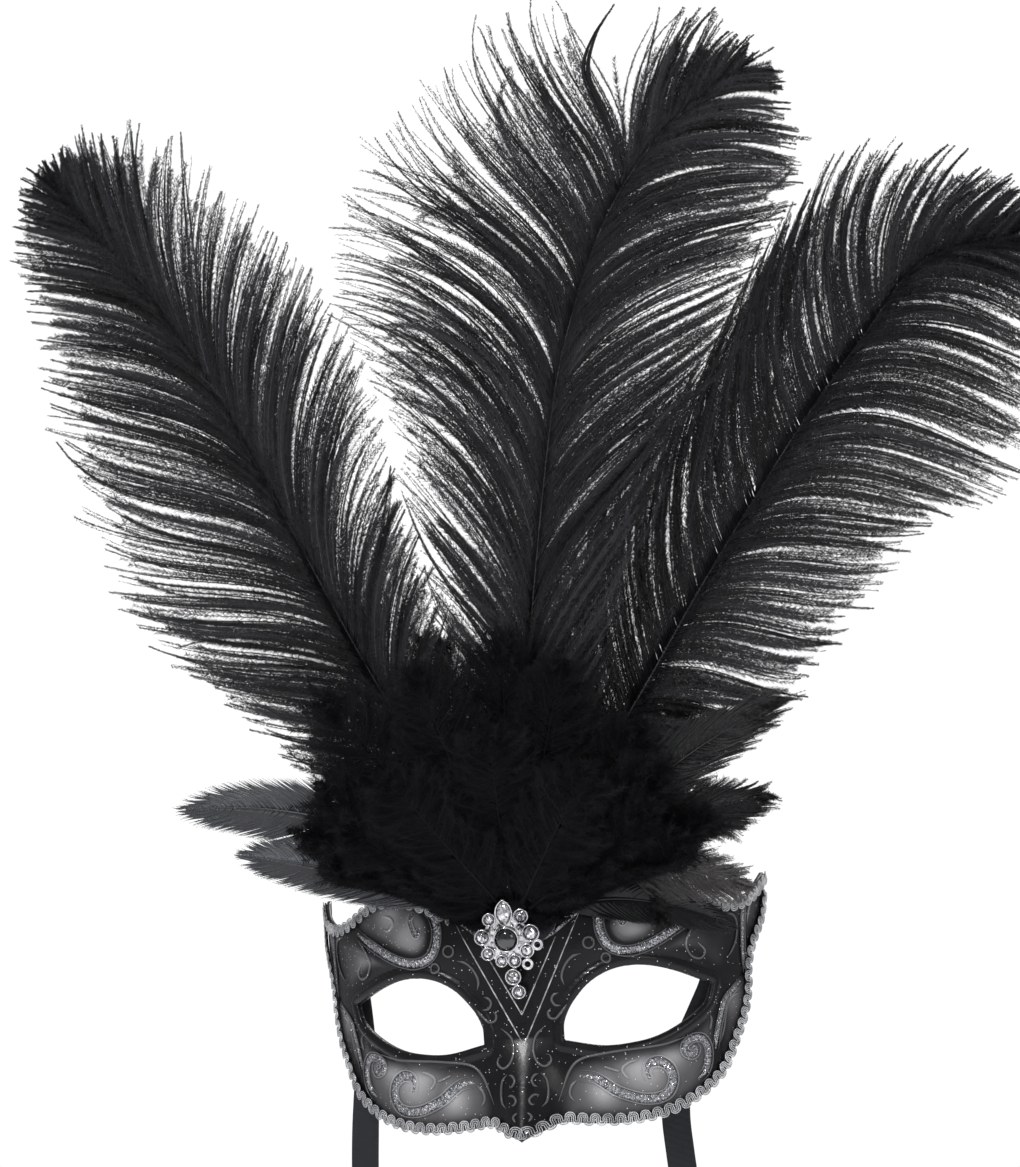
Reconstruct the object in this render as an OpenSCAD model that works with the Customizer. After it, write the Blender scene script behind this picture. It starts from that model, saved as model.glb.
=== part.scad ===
// Venetian half mask with a fan of three ostrich plumes, a ruff of short feathers,
// a rhinestone brooch, gimp braid round the edge and two satin ribbon ties.
// The front faces -Y, +Z is up, and the origin is on the inside face at the nose bridge.

/* [Shell] */
// Half the width of the mask across the temples
half_width = 88; // [80:1:95]
// How far the sides run back from the bridge
depth = 72; // [60:1:80]
// Wall of the moulded shell
wall = 1.6; // [1.2:0.1:2.5]
// How far the nose stands out at its tip
nose_out = 20; // [12:1:24]
// Half width of the nose ridge
nose_half_width = 11; // [9:0.5:13]
// How far the brow stands out
brow_out = 3; // [0:0.5:5]

/* [Braid] */
// Width of the gimp braid
braid_width = 5; // [4:0.5:6]
// Thickness of the gimp braid
braid_thickness = 2.2; // [1.5:0.1:2.5]

/* [Plumes] */
// Radius of a plume's quill at its root
quill_radius = 1.9; // [1.5:0.1:2.1]
// Half thickness of a plume's vane beside the quill
vane_half_thickness = 3.5; // [2:0.5:4]

/* [Ruff] */
// Half thickness of a short feather
short_half_thickness = 0.35; // [0.2:0.05:0.4]

/* [Brooch] */
// Radius of the black centre stone
centre_stone_radius = 4.2; // [3.5:0.1:4.3]
// Height of a stone's cup
cup_height = 2; // [1.6:0.1:2.4]

/* [Ties] */
// Width of the satin ribbon
ribbon_width = 11; // [9:0.5:12]
// Thickness of the satin ribbon
ribbon_thickness = 1; // [0.8:0.1:1.5]
// Height at which the free ribbons end, below the bridge
ribbon_end = 370; // [250:10:400]

/* [Hidden] */
// Half outline: angle and height on the lower edge, then on the upper edge.
// The angle is measured round the wearer's head, the height from the bridge.
EDGE = [
    [0, -33.5, 0, 39], [4, -31.5, 4, 40.5], [8.5, -28.8, 9, 43.5], [16, -30, 16, 51],
    [25, -30.5, 25, 57], [34, -29, 34, 59.5], [42, -25.5, 42, 58], [49, -20.5, 49, 53.5],
    [55, -14, 55, 50.5], [60, -4, 60, 49.5], [64.5, 5, 65, 50], [67.5, 15, 70, 51.5],
    [68.5, 24, 75, 54], [72, 33, 79, 56.5], [80, 43, 83, 58.5], [85, 55, 85.5, 59.5]
];
EDGE_STEPS = 2;
ROWS = 12;
MM_PER_DEGREE = 1.4;
// The upper braid starts beside the front pad, at this point of the stepped half outline.
UPPER_BRAID_START = 6;

// Eye hole seen from the front: upper lid from the inner to the outer corner, lower lid back.
UPPER_LID = [[15.5, 2], [16, 9], [20, 16.5], [27, 23.5], [36, 27.5], [46, 28], [57, 25], [69.5, 19]];
LOWER_LID = [[69.5, 19], [67, 12], [60, 6], [51, 1.5], [42, -0.5], [30, -1], [15.5, 2]];

// A plume: its shaft from root to tip, then the half widths of its vane on the left
// and on the right at each of those points.
LEFT_SHAFT = [
    [-5, 3.2, 33], [-8, 5, 56], [-30, 9, 104], [-56, 13, 153], [-92, 15, 228],
    [-112, 13, 268], [-130, 7, 300], [-146, -2, 322], [-158, -14, 338]
];
LEFT_SPREAD = [[0, 0], [0, 0], [16, 10], [50, 28], [58, 46], [50, 50], [40, 50], [30, 40], [14, 20]];
MIDDLE_SHAFT = [
    [0, 3.2, 31], [1, 4, 56], [8, 2, 105], [13, -2, 154], [28, -8, 237],
    [39, -10, 275], [55, -12, 311], [77, -18, 338], [104, -28, 356]
];
MIDDLE_SPREAD = [[0, 0], [0, 0], [18, 16], [46, 40], [96, 46], [104, 54], [98, 58], [72, 48], [44, 24]];
RIGHT_SHAFT = [
    [5, 3.2, 33], [9, 6, 56], [24, 12, 92], [49, 18, 128], [80, 22, 175],
    [117, 23, 226], [148, 19, 263], [172, 11, 287], [206, -4, 290]
];
RIGHT_SPREAD = [[0, 0], [0, 0], [12, 12], [30, 28], [56, 52], [62, 60], [54, 58], [42, 46], [18, 22]];
SHAFT_STEPS = 3;
QUILL_SIDES = 8;
QUILL_TIP_RADIUS = 0.45;
QUILL_TAPER = 2;
VANE_EDGE_HALF_THICKNESS = 0.5;
VANE_GAP = 0.15;

// The ruff: each short feather's angle from straight up, its length, the y of its root,
// the y of its tip and its half width. The roots sit on a small circle over the pads.
RUFF = [
    // first to sixth layer in front of the plumes, each leaning out more than the last
    [-64, 80, -3.9, -8, 15], [2, 98, -3.9, -12, 18], [67, 76, -3.9, -8, 15],
    [-36, 104, -4.9, -16, 17], [38, 82, -4.9, -15, 17],
    [-52, 80, -5.9, -19, 15], [16, 92, -5.9, -19, 16], [72, 66, -5.9, -16, 13],
    [-16, 92, -6.9, -24, 16], [50, 74, -6.9, -23, 15], [-69, 64, -6.9, -19, 13],
    [-56, 62, -7.9, -27, 14], [0, 64, -7.9, -31, 16], [58, 62, -7.9, -27, 14],
    [-34, 60, -8.9, -36, 15], [34, 58, -8.9, -36, 15],
    // two layers behind the plumes
    [-44, 108, 12.5, 33, 17], [10, 104, 12.5, 34, 19], [64, 80, 12.5, 31, 15],
    [-18, 110, 13.6, 40, 18], [40, 94, 13.6, 40, 17]
];
RUFF_CENTRE = 48;
RUFF_ROOT_RADIUS = 8;
RUFF_ARCH = 0.12;

// Longer feathers that stand apart from the ruff: root, middle and tip of the shaft, half width.
LOOSE = [
    [[-12, -0.2, 60], [-66, -2, 90], [-127, 4, 99], 14],
    [[-13, -0.2, 56], [-60, -5, 70], [-106, 4, 80], 12],
    [[12, -0.2, 60], [58, -2, 98], [106, 4, 124], 13],
    [[13, -0.2, 57], [60, -5, 80], [100, 8, 88], 12],
    [[17.5, -2.2, 51], [46, 0.5, 53], [79, 27, 40], 9]
];
SHORT_STEPS = 5;
RUFF_NAMES = [for (i = [1:len(RUFF)]) str("short_feather_", i)];
LOOSE_NAMES = ["upper_left_side_feather", "lower_left_side_feather", "upper_right_side_feather",
    "lower_right_side_feather", "temple_feather"];

// The brooch: place of each clear round stone from the centre stone, and its radius.
ROUND_STONES = [
    [-5.8, 8, 2], [-9, 1.4, 2.5], [-7.4, -5, 2], [-2.4, -8, 1.8],
    [2.6, -8.2, 2], [7.6, -4.6, 2.2], [9.6, 2, 2.8], [6.4, 8.6, 2.3]
];
DROP_STONES = [[1.4, -14.4, 2.5], [3, -20.2, 2.1]];
EMPTY_RINGS = [[7.4, -9.8, 1.6], [11.8, -2.6, 1.6]];
MARQUISE_AT = [0, 10.2];
MARQUISE_LENGTH = 9.4;
MARQUISE_WIDTH = 5.6;
BROOCH_AT = [-2.6, -8.6, 41.5];
BROOCH_TILT = 9;
BROOCH_PLATE = 0.8;
CUP_RIM = 0.55;
STONE_FIT = 0.05;
ROUND = 48;

// Ribbon routes from the glued end down: x, y, z and the turn of the flat face about Z.
LEFT_ROUTE = [
    [-69.6, 34.6, 27, -46], [-69.3, 35.6, 20, -44], [-69.3, 36.8, 10, -40], [-69.8, 38.4, 0, -34],
    [-70.8, 40, -10, -26], [-72, 41.6, -20, -16], [-73.4, 43, -32, -8], [-74.6, 44, -46, -4],
    [-75, 44, -60, 0]
];
RIGHT_ROUTE = [
    [69.6, 34.6, 27, 46], [68.2, 35, 20, 40], [63.6, 35.6, 10, 26], [58.6, 36, 0, 12],
    [54.4, 36.2, -10, 4], [51.8, 36.4, -20, 0], [50.6, 36.8, -32, 0], [51.2, 37.4, -46, 0],
    [52, 38, -60, 0]
];
RIBBON_FREE_STEPS = 12;
RIBBON_SIDES = 8;
// The glued end of a ribbon lies on the inside wall and a felt patch covers it.
PATCH_ANGLE = 55;
PATCH_HEIGHT = 40;
PATCH_RADIUS = 8;
PATCH_THICKNESS = 1.2;
TAB_CLEARANCE = 0.5;
TAB_THICKNESS = 0.5;
TAB_HEIGHT = 14;
PATCH_CLEARANCE = TAB_CLEARANCE + TAB_THICKNESS + 0.05;
PAD_THICKNESS = 1.5;

// ---- curves ----

function catmull(a, b, c, d, t) =
    0.5 * (2 * b + (c - a) * t + (2 * a - 5 * b + 4 * c - d) * t * t + (3 * b - a - 3 * c + d) * t * t * t);

// A smooth open curve through the points, with a number of steps between each two.
function smooth(p, steps) =
    let (n = len(p))
    [for (k = [0:(n - 1) * steps])
        let (i = min(floor(k / steps), n - 2), t = k / steps - i)
        catmull(i > 0 ? p[i - 1] : 2 * p[0] - p[1], p[i], p[i + 1],
            i < n - 2 ? p[i + 2] : 2 * p[n - 1] - p[n - 2], t)];

function unit(v) = v / norm(v);

function tangent(p, i) = unit(p[min(i + 1, len(p) - 1)] - p[max(i - 1, 0)]);

// Triangles that join rings of equal size into one closed solid.
function tube_faces(rings, sides) = concat(
    [for (i = [0:rings - 2], j = [0:sides - 1])
        let (a = i * sides + j, b = i * sides + (j + 1) % sides) each [[a, b, a + sides], [b, b + sides, a + sides]]],
    [for (j = [1:sides - 2]) [0, j + 1, j]],
    [for (j = [1:sides - 2]) let (e = (rings - 1) * sides) [e, e + j, e + j + 1]]
);

module tube(rings) {
    sides = len(rings[0]);
    polyhedron(points = [for (r = rings) each r], faces = tube_faces(len(rings), sides));
}

// ---- the moulded shell ----

function bump(x, half) = exp(-pow(x / half, 2));

function relief(angle, z) =
    nose_out * pow(max(0, min(1, (4 - z) / 38)), 1.15) * bump(half_width * sin(angle), nose_half_width)
    + brow_out * bump(z - 40, 14) * bump(abs(angle) - 32, 20)
    + brow_out * 0.8 * bump(z + 16, 14) * bump(abs(angle) - 30, 18);

// A point on the front face of the shell.
function skin(angle, z) =
    [half_width * sin(angle), depth * (1 - cos(angle)) - wall - relief(angle, z), z];

// The direction that looks out of the front face.
function outward(angle, z) =
    unit(cross(skin(angle + 0.5, z) - skin(angle - 0.5, z), skin(angle, z + 0.5) - skin(angle, z - 0.5)));

function on_skin(angle, z, off) = skin(angle, z) + off * outward(angle, z);

half_edge = smooth(EDGE, EDGE_STEPS);
last = len(half_edge) - 1;
function mirrored(e) = [-e[0], e[1], -e[2], e[3]];
whole_edge = concat([for (i = [last:-1:1]) mirrored(half_edge[i])], half_edge);

module shell_blank() {
    cols = len(whole_edge);
    per_side = cols * (ROWS + 1);
    outer = [for (e = whole_edge, r = [0:ROWS])
        let (t = r / ROWS) skin(e[0] + (e[2] - e[0]) * t, e[1] + (e[3] - e[1]) * t)];
    inner = [for (e = whole_edge, r = [0:ROWS])
        let (t = r / ROWS) on_skin(e[0] + (e[2] - e[0]) * t, e[1] + (e[3] - e[1]) * t, -wall)];
    function at(c, r) = c * (ROWS + 1) + r;
    front = [for (c = [0:cols - 2], r = [0:ROWS - 1])
        each [[at(c, r), at(c, r + 1), at(c + 1, r)], [at(c + 1, r), at(c, r + 1), at(c + 1, r + 1)]]];
    back = [for (f = front) [f[0] + per_side, f[2] + per_side, f[1] + per_side]];
    low = [for (c = [0:cols - 2]) each rim(at(c, 0), at(c + 1, 0), per_side)];
    high = [for (c = [0:cols - 2]) each rim(at(c + 1, ROWS), at(c, ROWS), per_side)];
    left = [for (r = [0:ROWS - 1]) each rim(at(0, r + 1), at(0, r), per_side)];
    right = [for (r = [0:ROWS - 1]) each rim(at(cols - 1, r), at(cols - 1, r + 1), per_side)];
    polyhedron(points = concat(outer, inner), faces = concat(front, back, low, high, left, right));
}

function rim(a, b, side) = [[a, b, a + side], [b, b + side, a + side]];

module eye_cutter() {
    translate([0, depth, 0])
        rotate([90, 0, 0])
            linear_extrude(depth + nose_out)
                polygon(concat(smooth(UPPER_LID, 3), smooth(LOWER_LID, 3)));
}

module mask_shell() {
    color("dimgray")
        difference() {
            shell_blank();
            eye_cutter();
            mirror([1, 0, 0]) eye_cutter();
        }
}

// ---- the gimp braid ----

// Rings of a flat band on the front face, along edge points given as angle and height;
// side is 1 where the mask lies to the left of the direction of travel and -1 where to the right.
module braid_band(edge, side) {
    inset = braid_width / 2 - 1;
    path = [for (i = [0:len(edge) - 1])
        let (
            d = edge[min(i + 1, len(edge) - 1)] - edge[max(i - 1, 0)],
            t = unit([d[0] * MM_PER_DEGREE, d[1]])
        )
        [edge[i][0] - side * inset * t[1] / MM_PER_DEGREE, edge[i][1] + side * inset * t[0]]];
    centre = [for (p = path) on_skin(p[0], p[1], braid_thickness / 2 + 0.25)];
    rings = [for (i = [0:len(path) - 1])
        let (n = outward(path[i][0], path[i][1]), w = unit(cross(tangent(centre, i), n)))
        [for (k = [0:7]) centre[i] + braid_width / 2 * cos(45 * k) * w + braid_thickness / 2 * sin(45 * k) * n]];
    tube(rings);
}

module lower_braid() {
    color("silver")
        braid_band([for (i = [2:len(whole_edge) - 3]) [whole_edge[i][0], whole_edge[i][1]]], 1);
}

module upper_braid() {
    braid_band([for (i = [UPPER_BRAID_START:last - 1]) [half_edge[i][2], half_edge[i][3]]], -1);
}

module upper_right_braid() {
    color("silver") upper_braid();
}

module upper_left_braid() {
    color("silver") mirror([1, 0, 0]) upper_braid();
}

// ---- pads that carry the feathers ----

module felt_pad(at, size) {
    color("black")
        translate(at)
            rotate([90, 0, 0])
                linear_extrude(PAD_THICKNESS)
                    scale([size[0] / size[1], 1]) circle(d = size[1], $fn = ROUND);
}

module front_pad() {
    felt_pad([0, -wall - 0.4, 49], [32, 24]);
}

module back_pad() {
    felt_pad([0, 9, 40], [44, 26]);
}

// ---- plumes ----

// Radius of a quill at point i of n: most of the taper is in its lower half.
function quill_at(i, n) =
    QUILL_TIP_RADIUS + (quill_radius - QUILL_TIP_RADIUS) * pow(1 - i / n, QUILL_TAPER);

module quill(shaft) {
    path = smooth(shaft, SHAFT_STEPS);
    n = len(path) - 1;
    color("dimgray")
        tube([for (i = [0:n])
            let (
                r = quill_at(i, n),
                t = tangent(path, i), w = unit(cross(t, [0, 1, 0])), u = cross(w, t)
            )
            [for (k = [0:QUILL_SIDES - 1])
                path[i] + r * (cos(360 * k / QUILL_SIDES) * w + sin(360 * k / QUILL_SIDES) * u)]]);
}

// The barbs on one side of the shaft, as one thin solid.
module half_vane(shaft, spread, side) {
    path = smooth(shaft, SHAFT_STEPS);
    width = smooth(spread, SHAFT_STEPS);
    n = len(path) - 1;
    first = SHAFT_STEPS + 1;
    rings = [for (i = [first:n])
        let (
            r = quill_at(i, n) + VANE_GAP,
            t = tangent(path, i), w = side * unit(cross(t, [0, 1, 0])), u = side * cross(w, t),
            out = r + 1 + max(0, side < 0 ? width[i][0] : width[i][1]),
            thick = vane_half_thickness * (1 - 0.6 * i / n)
        )
        [path[i] + r * w - thick * u, path[i] + out * w - VANE_EDGE_HALF_THICKNESS * u,
            path[i] + out * w + VANE_EDGE_HALF_THICKNESS * u, path[i] + r * w + thick * u]];
    if (side > 0) tube(rings);
    else tube([for (r = rings) [r[3], r[2], r[1], r[0]]]);
}

module vane(shaft, spread) {
    color("black") {
        half_vane(shaft, spread, -1);
        half_vane(shaft, spread, 1);
    }
}

module left_plume_quill() { quill(LEFT_SHAFT); }
module left_plume_vane() { vane(LEFT_SHAFT, LEFT_SPREAD); }
module middle_plume_quill() { quill(MIDDLE_SHAFT); }
module middle_plume_vane() { vane(MIDDLE_SHAFT, MIDDLE_SPREAD); }
module right_plume_quill() { quill(RIGHT_SHAFT); }
module right_plume_vane() { vane(RIGHT_SHAFT, RIGHT_SPREAD); }

// ---- short feathers ----

function bend(a, b, c, t) = (1 - t) * (1 - t) * a + 2 * t * (1 - t) * (2 * b - (a + c) / 2) + t * t * c;

// Half width along a feather: a bare root, a full middle and a rounded tip.
function leaf(t) = 0.08 + 0.92 * pow(sin(180 * pow(t, 0.8)), 0.7);

module short_feather(root, middle, tip, half_width) {
    path = [for (k = [0:SHORT_STEPS]) bend(root, middle, tip, k / SHORT_STEPS)];
    color("black")
        tube([for (i = [0:SHORT_STEPS])
            let (
                t = tangent(path, i), w = unit(cross(t, [0, 1, 0])), u = cross(w, t),
                half = half_width * leaf(min(0.97, i / SHORT_STEPS))
            )
            [path[i] - half * w, path[i] - short_half_thickness * u,
                path[i] + half * w, path[i] + short_half_thickness * u]]);
}

module ruff_feather(f) {
    away = [sin(f[0]), 0, cos(f[0])];
    root = [0, f[2], RUFF_CENTRE] + RUFF_ROOT_RADIUS * away;
    tip = [0, f[3], RUFF_CENTRE] + (RUFF_ROOT_RADIUS + f[1]) * away;
    middle = (root + tip) / 2 + [0, RUFF_ARCH * (f[3] - f[2]), 0];
    short_feather(root, middle, tip, f[4]);
}

// ---- brooch ----

module brooch_frame() {
    translate(BROOCH_AT) rotate([90 + BROOCH_TILT, 0, 0]) children();
}

module marquise(length, width, height) {
    // Two arcs that meet in a point above and below.
    r = (length * length + width * width) / (4 * width);
    linear_extrude(height)
        intersection() {
            translate([r - width / 2, 0]) circle(r = r, $fn = ROUND * 2);
            translate([width / 2 - r, 0]) circle(r = r, $fn = ROUND * 2);
        }
}

module cup(s) {
    translate([s[0], s[1], 0]) cylinder(r = s[2] + CUP_RIM, h = cup_height, $fn = ROUND);
}

module seat(s) {
    translate([s[0], s[1], BROOCH_PLATE]) cylinder(r = s[2] + STONE_FIT, h = cup_height, $fn = ROUND);
}

module link(a, b) {
    length = norm([b[0] - a[0], b[1] - a[1]]);
    translate([a[0], a[1], 0])
        rotate(atan2(b[1] - a[1], b[0] - a[0]))
            translate([0, -0.7, 0]) cube([length, 1.4, BROOCH_PLATE]);
}

module brooch_setting() {
    centre = [0, 0, centre_stone_radius];
    color("silver")
        brooch_frame()
            difference() {
                union() {
                    cylinder(r = 9, h = BROOCH_PLATE, $fn = ROUND);
                    for (s = concat([centre], ROUND_STONES, DROP_STONES)) cup(s);
                    translate([MARQUISE_AT[0], MARQUISE_AT[1], 0])
                        marquise(MARQUISE_LENGTH + 2 * CUP_RIM, MARQUISE_WIDTH + 2 * CUP_RIM, cup_height);
                    for (s = EMPTY_RINGS) cup(s);
                    link(ROUND_STONES[4], DROP_STONES[0]);
                    link(DROP_STONES[0], DROP_STONES[1]);
                    for (s = EMPTY_RINGS) link(ROUND_STONES[5], s);
                }
                for (s = concat([centre], ROUND_STONES, DROP_STONES)) seat(s);
                translate([MARQUISE_AT[0], MARQUISE_AT[1], BROOCH_PLATE])
                    marquise(MARQUISE_LENGTH + 2 * STONE_FIT, MARQUISE_WIDTH + 2 * STONE_FIT, cup_height);
                for (s = EMPTY_RINGS)
                    translate([s[0], s[1], -1]) cylinder(r = s[2] - 0.4, h = cup_height + 2, $fn = ROUND);
            }
}

// A round stone with a straight girdle and a bevelled crown.
module stone(s) {
    girdle = 0.9;
    crown = 0.45 * s[2];
    translate([s[0], s[1], BROOCH_PLATE]) {
        cylinder(r = s[2], h = girdle, $fn = ROUND);
        translate([0, 0, girdle]) cylinder(r1 = s[2], r2 = 0.6 * s[2], h = crown, $fn = ROUND);
    }
}

module centre_stone() {
    color("black") brooch_frame() stone([0, 0, centre_stone_radius]);
}

module marquise_stone() {
    color("white")
        brooch_frame()
            translate([MARQUISE_AT[0], MARQUISE_AT[1], BROOCH_PLATE])
                marquise(MARQUISE_LENGTH, MARQUISE_WIDTH, cup_height);
}

module round_stones() {
    color("white") brooch_frame() for (s = ROUND_STONES) stone(s);
}

module drop_stones() {
    color("white") brooch_frame() for (s = DROP_STONES) stone(s);
}

// ---- ribbon ties ----

// Places its child on the inside wall at the temple, with its local +Z pointing inwards.
module at_temple(side, clearance) {
    n = outward(PATCH_ANGLE, PATCH_HEIGHT);
    turn = atan2(n[1], n[0]);
    centre = on_skin(PATCH_ANGLE, PATCH_HEIGHT, -wall - clearance);
    translate([side * centre[0], centre[1], centre[2]])
        rotate([0, 0, side > 0 ? turn + 180 : -turn])
            rotate([0, 90, 0]) children();
}

module tie_patch(side) {
    color("black")
        at_temple(side, PATCH_CLEARANCE) cylinder(r = PATCH_RADIUS, h = PATCH_THICKNESS, $fn = ROUND);
}

module tie_tab(side) {
    color("black")
        at_temple(side, TAB_CLEARANCE)
            translate([-TAB_HEIGHT / 2 + 3, -ribbon_width / 2, 0])
                cube([TAB_HEIGHT, ribbon_width, TAB_THICKNESS]);
}

module tie(route) {
    low = route[len(route) - 1];
    free = [for (k = [1:RIBBON_FREE_STEPS])
        [low[0], low[1], low[2] - (ribbon_end + low[2]) * k / RIBBON_FREE_STEPS, low[3]]];
    path = concat(route, free);
    color("black")
        tube([for (p = path)
            [for (k = [0:RIBBON_SIDES - 1])
                let (
                    a = 360 * (k + 0.5) / RIBBON_SIDES,
                    across = ribbon_width / 2 * cos(a) / cos(180 / RIBBON_SIDES),
                    thick = ribbon_thickness / 2 * sin(a)
                )
                [p[0] + across * cos(p[3]) - thick * sin(p[3]), p[1] + across * sin(p[3]) + thick * cos(p[3]), p[2]]]]);
}

module left_tie_patch() { tie_patch(-1); }
module right_tie_patch() { tie_patch(1); }
module left_tie_tab() { tie_tab(-1); }
module right_tie_tab() { tie_tab(1); }
module left_tie() { tie(LEFT_ROUTE); }
module right_tie() { tie(RIGHT_ROUTE); }

mask_shell();
lower_braid();
upper_left_braid();
upper_right_braid();
front_pad();
back_pad();
left_plume_quill();
left_plume_vane();
middle_plume_quill();
middle_plume_vane();
right_plume_quill();
right_plume_vane();
for (i = [0:len(RUFF) - 1])
    ruff_feather(RUFF[i]);
for (i = [0:len(LOOSE) - 1])
    short_feather(LOOSE[i][0], LOOSE[i][1], LOOSE[i][2], LOOSE[i][3]);
brooch_setting();
centre_stone();
marquise_stone();
round_stones();
drop_stones();
left_tie_patch();
right_tie_patch();
left_tie_tab();
right_tie_tab();
left_tie();
right_tie();
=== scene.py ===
"""Looks of the feathered half mask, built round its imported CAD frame.

Shapes are worked out in millimetres, in the frame of the part, and turned into metres
when a mesh is made. The front of the mask faces -Y and +Z is up.
"""

import math

import bpy
import numpy as np
from mathutils import Matrix, Vector


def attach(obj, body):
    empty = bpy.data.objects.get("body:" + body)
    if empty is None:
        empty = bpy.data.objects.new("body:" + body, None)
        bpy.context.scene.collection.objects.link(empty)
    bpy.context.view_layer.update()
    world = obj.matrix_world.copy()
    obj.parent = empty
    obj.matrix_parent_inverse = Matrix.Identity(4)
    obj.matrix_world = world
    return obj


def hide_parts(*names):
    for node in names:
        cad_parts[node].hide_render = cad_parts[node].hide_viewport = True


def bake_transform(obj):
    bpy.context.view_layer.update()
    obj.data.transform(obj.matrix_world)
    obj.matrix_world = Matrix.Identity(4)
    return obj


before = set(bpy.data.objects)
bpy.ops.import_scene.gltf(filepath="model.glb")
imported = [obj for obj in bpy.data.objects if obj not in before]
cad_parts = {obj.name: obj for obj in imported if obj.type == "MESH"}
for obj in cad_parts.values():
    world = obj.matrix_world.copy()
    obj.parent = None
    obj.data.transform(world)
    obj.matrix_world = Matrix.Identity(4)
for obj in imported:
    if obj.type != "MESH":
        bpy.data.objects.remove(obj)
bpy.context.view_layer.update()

MM = 0.001
FRONT = np.array([0.0, -1.0, 0.0])

# ---- sizes shared with the part ----

HALF_WIDTH = 88.0
DEPTH = 72.0
WALL = 1.6
NOSE_OUT = 20.0
NOSE_HALF_WIDTH = 11.0
BROW_OUT = 3.0
QUILL_RADIUS = 1.9
QUILL_TIP_RADIUS = 0.45

# Half outline of the shell: angle and height below, angle and height above.
EDGE = np.array([
    (0, -33.5, 0, 39), (4, -31.5, 4, 40.5), (8.5, -28.8, 9, 43.5), (16, -30, 16, 51),
    (25, -30.5, 25, 57), (34, -29, 34, 59.5), (42, -25.5, 42, 58), (49, -20.5, 49, 53.5),
    (55, -14, 55, 50.5), (60, -4, 60, 49.5), (64.5, 5, 65, 50), (67.5, 15, 70, 51.5),
    (68.5, 24, 75, 54), (72, 33, 79, 56.5), (80, 43, 83, 58.5), (85, 55, 85.5, 59.5),
], float)

UPPER_LID = np.array([
    (15.5, 2), (16, 9), (20, 16.5), (27, 23.5), (36, 27.5), (46, 28), (57, 25), (69.5, 19),
], float)
LOWER_LID = np.array([
    (69.5, 19), (67, 12), (60, 6), (51, 1.5), (42, -0.5), (30, -1), (15.5, 2),
], float)

# ---- number helpers ----


def unit(v):
    return v / np.maximum(np.linalg.norm(v, axis=-1, keepdims=True), 1e-9)


def smooth_curve(points, steps):
    """A Catmull-Rom curve through the points, with a number of steps between each two."""
    p = np.asarray(points, float)
    p = np.vstack([2 * p[0] - p[1], p, 2 * p[-1] - p[-2]])
    at = np.arange((len(p) - 3) * steps + 1) / steps
    i = np.minimum(at.astype(int), len(p) - 4)
    t = (at - i)[:, None]
    a, b, c, d = p[i], p[i + 1], p[i + 2], p[i + 3]
    curve = 2 * b + (c - a) * t + (2 * a - 5 * b + 4 * c - d) * t ** 2
    return 0.5 * (curve + (3 * b - a - 3 * c + d) * t ** 3)


def lengths_along(points):
    steps = np.linalg.norm(np.diff(points, axis=0), axis=1)
    return np.concatenate([[0.0], np.cumsum(steps)])


def at_lengths(points, where):
    """The points of a polyline at those lengths along it."""
    along = lengths_along(points)
    return np.stack([np.interp(where, along, points[:, k]) for k in range(points.shape[1])], -1)


def even_spacing(points, gap):
    total = lengths_along(points)[-1]
    count = max(3, int(round(total / gap)) + 1)
    return at_lengths(points, np.linspace(0, total, count))


def around(count, shift=0.0):
    """Angles spaced evenly round a circle, in radians."""
    return 2 * np.pi * (np.arange(count) + shift) / count


def headings(line):
    """The direction of a line at each of its points."""
    return unit(np.gradient(line, axis=0))


def left_of(directions):
    """Flat directions, each turned a quarter turn to its left."""
    return np.stack([-directions[:, 1], directions[:, 0]], -1)


def ramp(x, low, high):
    """A smooth step from 0 at low to 1 at high."""
    t = np.clip((x - low) / (high - low), 0, 1)
    return t * t * (3 - 2 * t)


def distance_to_line(points, line):
    """Distance of each 2-D point to a polyline."""
    best = np.full(len(points), 1e9)
    for a, b in zip(line[:-1], line[1:]):
        d = b - a
        t = np.clip((points - a) @ d / max(d @ d, 1e-12), 0, 1)
        best = np.minimum(best, np.linalg.norm(points - a - t[:, None] * d, axis=1))
    return best


def inside(points, polygon):
    """Whether each 2-D point is in a closed polygon."""
    result = np.zeros(len(points), bool)
    x, y = points[:, 0], points[:, 1]
    for a, b in zip(polygon, np.roll(polygon, -1, axis=0)):
        crosses = (a[1] > y) != (b[1] > y)
        slope = (b[0] - a[0]) / (b[1] - a[1] if b[1] != a[1] else 1e-12)
        result ^= crosses & (x < a[0] + slope * (y - a[1]))
    return result


def depth_in(points, polygon):
    """Distance inside a closed polygon, and 0 outside it."""
    closed = np.vstack([polygon, polygon[:1]])
    return np.where(inside(points, polygon), distance_to_line(points, closed), 0)


# ---- the face of the shell ----


def bump(x, half):
    """A bell that is 1 where x is 0."""
    return np.exp(-(x / half) ** 2)


def relief(angle, z):
    """How far the nose, the brows and the cheeks stand out."""
    x = HALF_WIDTH * np.sin(np.radians(angle))
    nose = NOSE_OUT * np.clip((4 - z) / 38, 0, 1) ** 1.15 * bump(x, NOSE_HALF_WIDTH)
    brow = BROW_OUT * bump(z - 40, 14) * bump(np.abs(angle) - 32, 20)
    cheek = 0.8 * BROW_OUT * bump(z + 16, 14) * bump(np.abs(angle) - 30, 18)
    return nose + brow + cheek


def skin(angle, z):
    """The CAD shell's front face."""
    a = np.radians(angle)
    y = DEPTH * (1 - np.cos(a)) - WALL - relief(angle, z)
    return np.stack(np.broadcast_arrays(HALF_WIDTH * np.sin(a), y, z), -1)


def outward(angle, z):
    """Direction straight out of the front face."""
    across = skin(angle + 0.5, z) - skin(angle - 0.5, z)
    return unit(np.cross(across, skin(angle, z + 0.5) - skin(angle, z - 0.5)))


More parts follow.
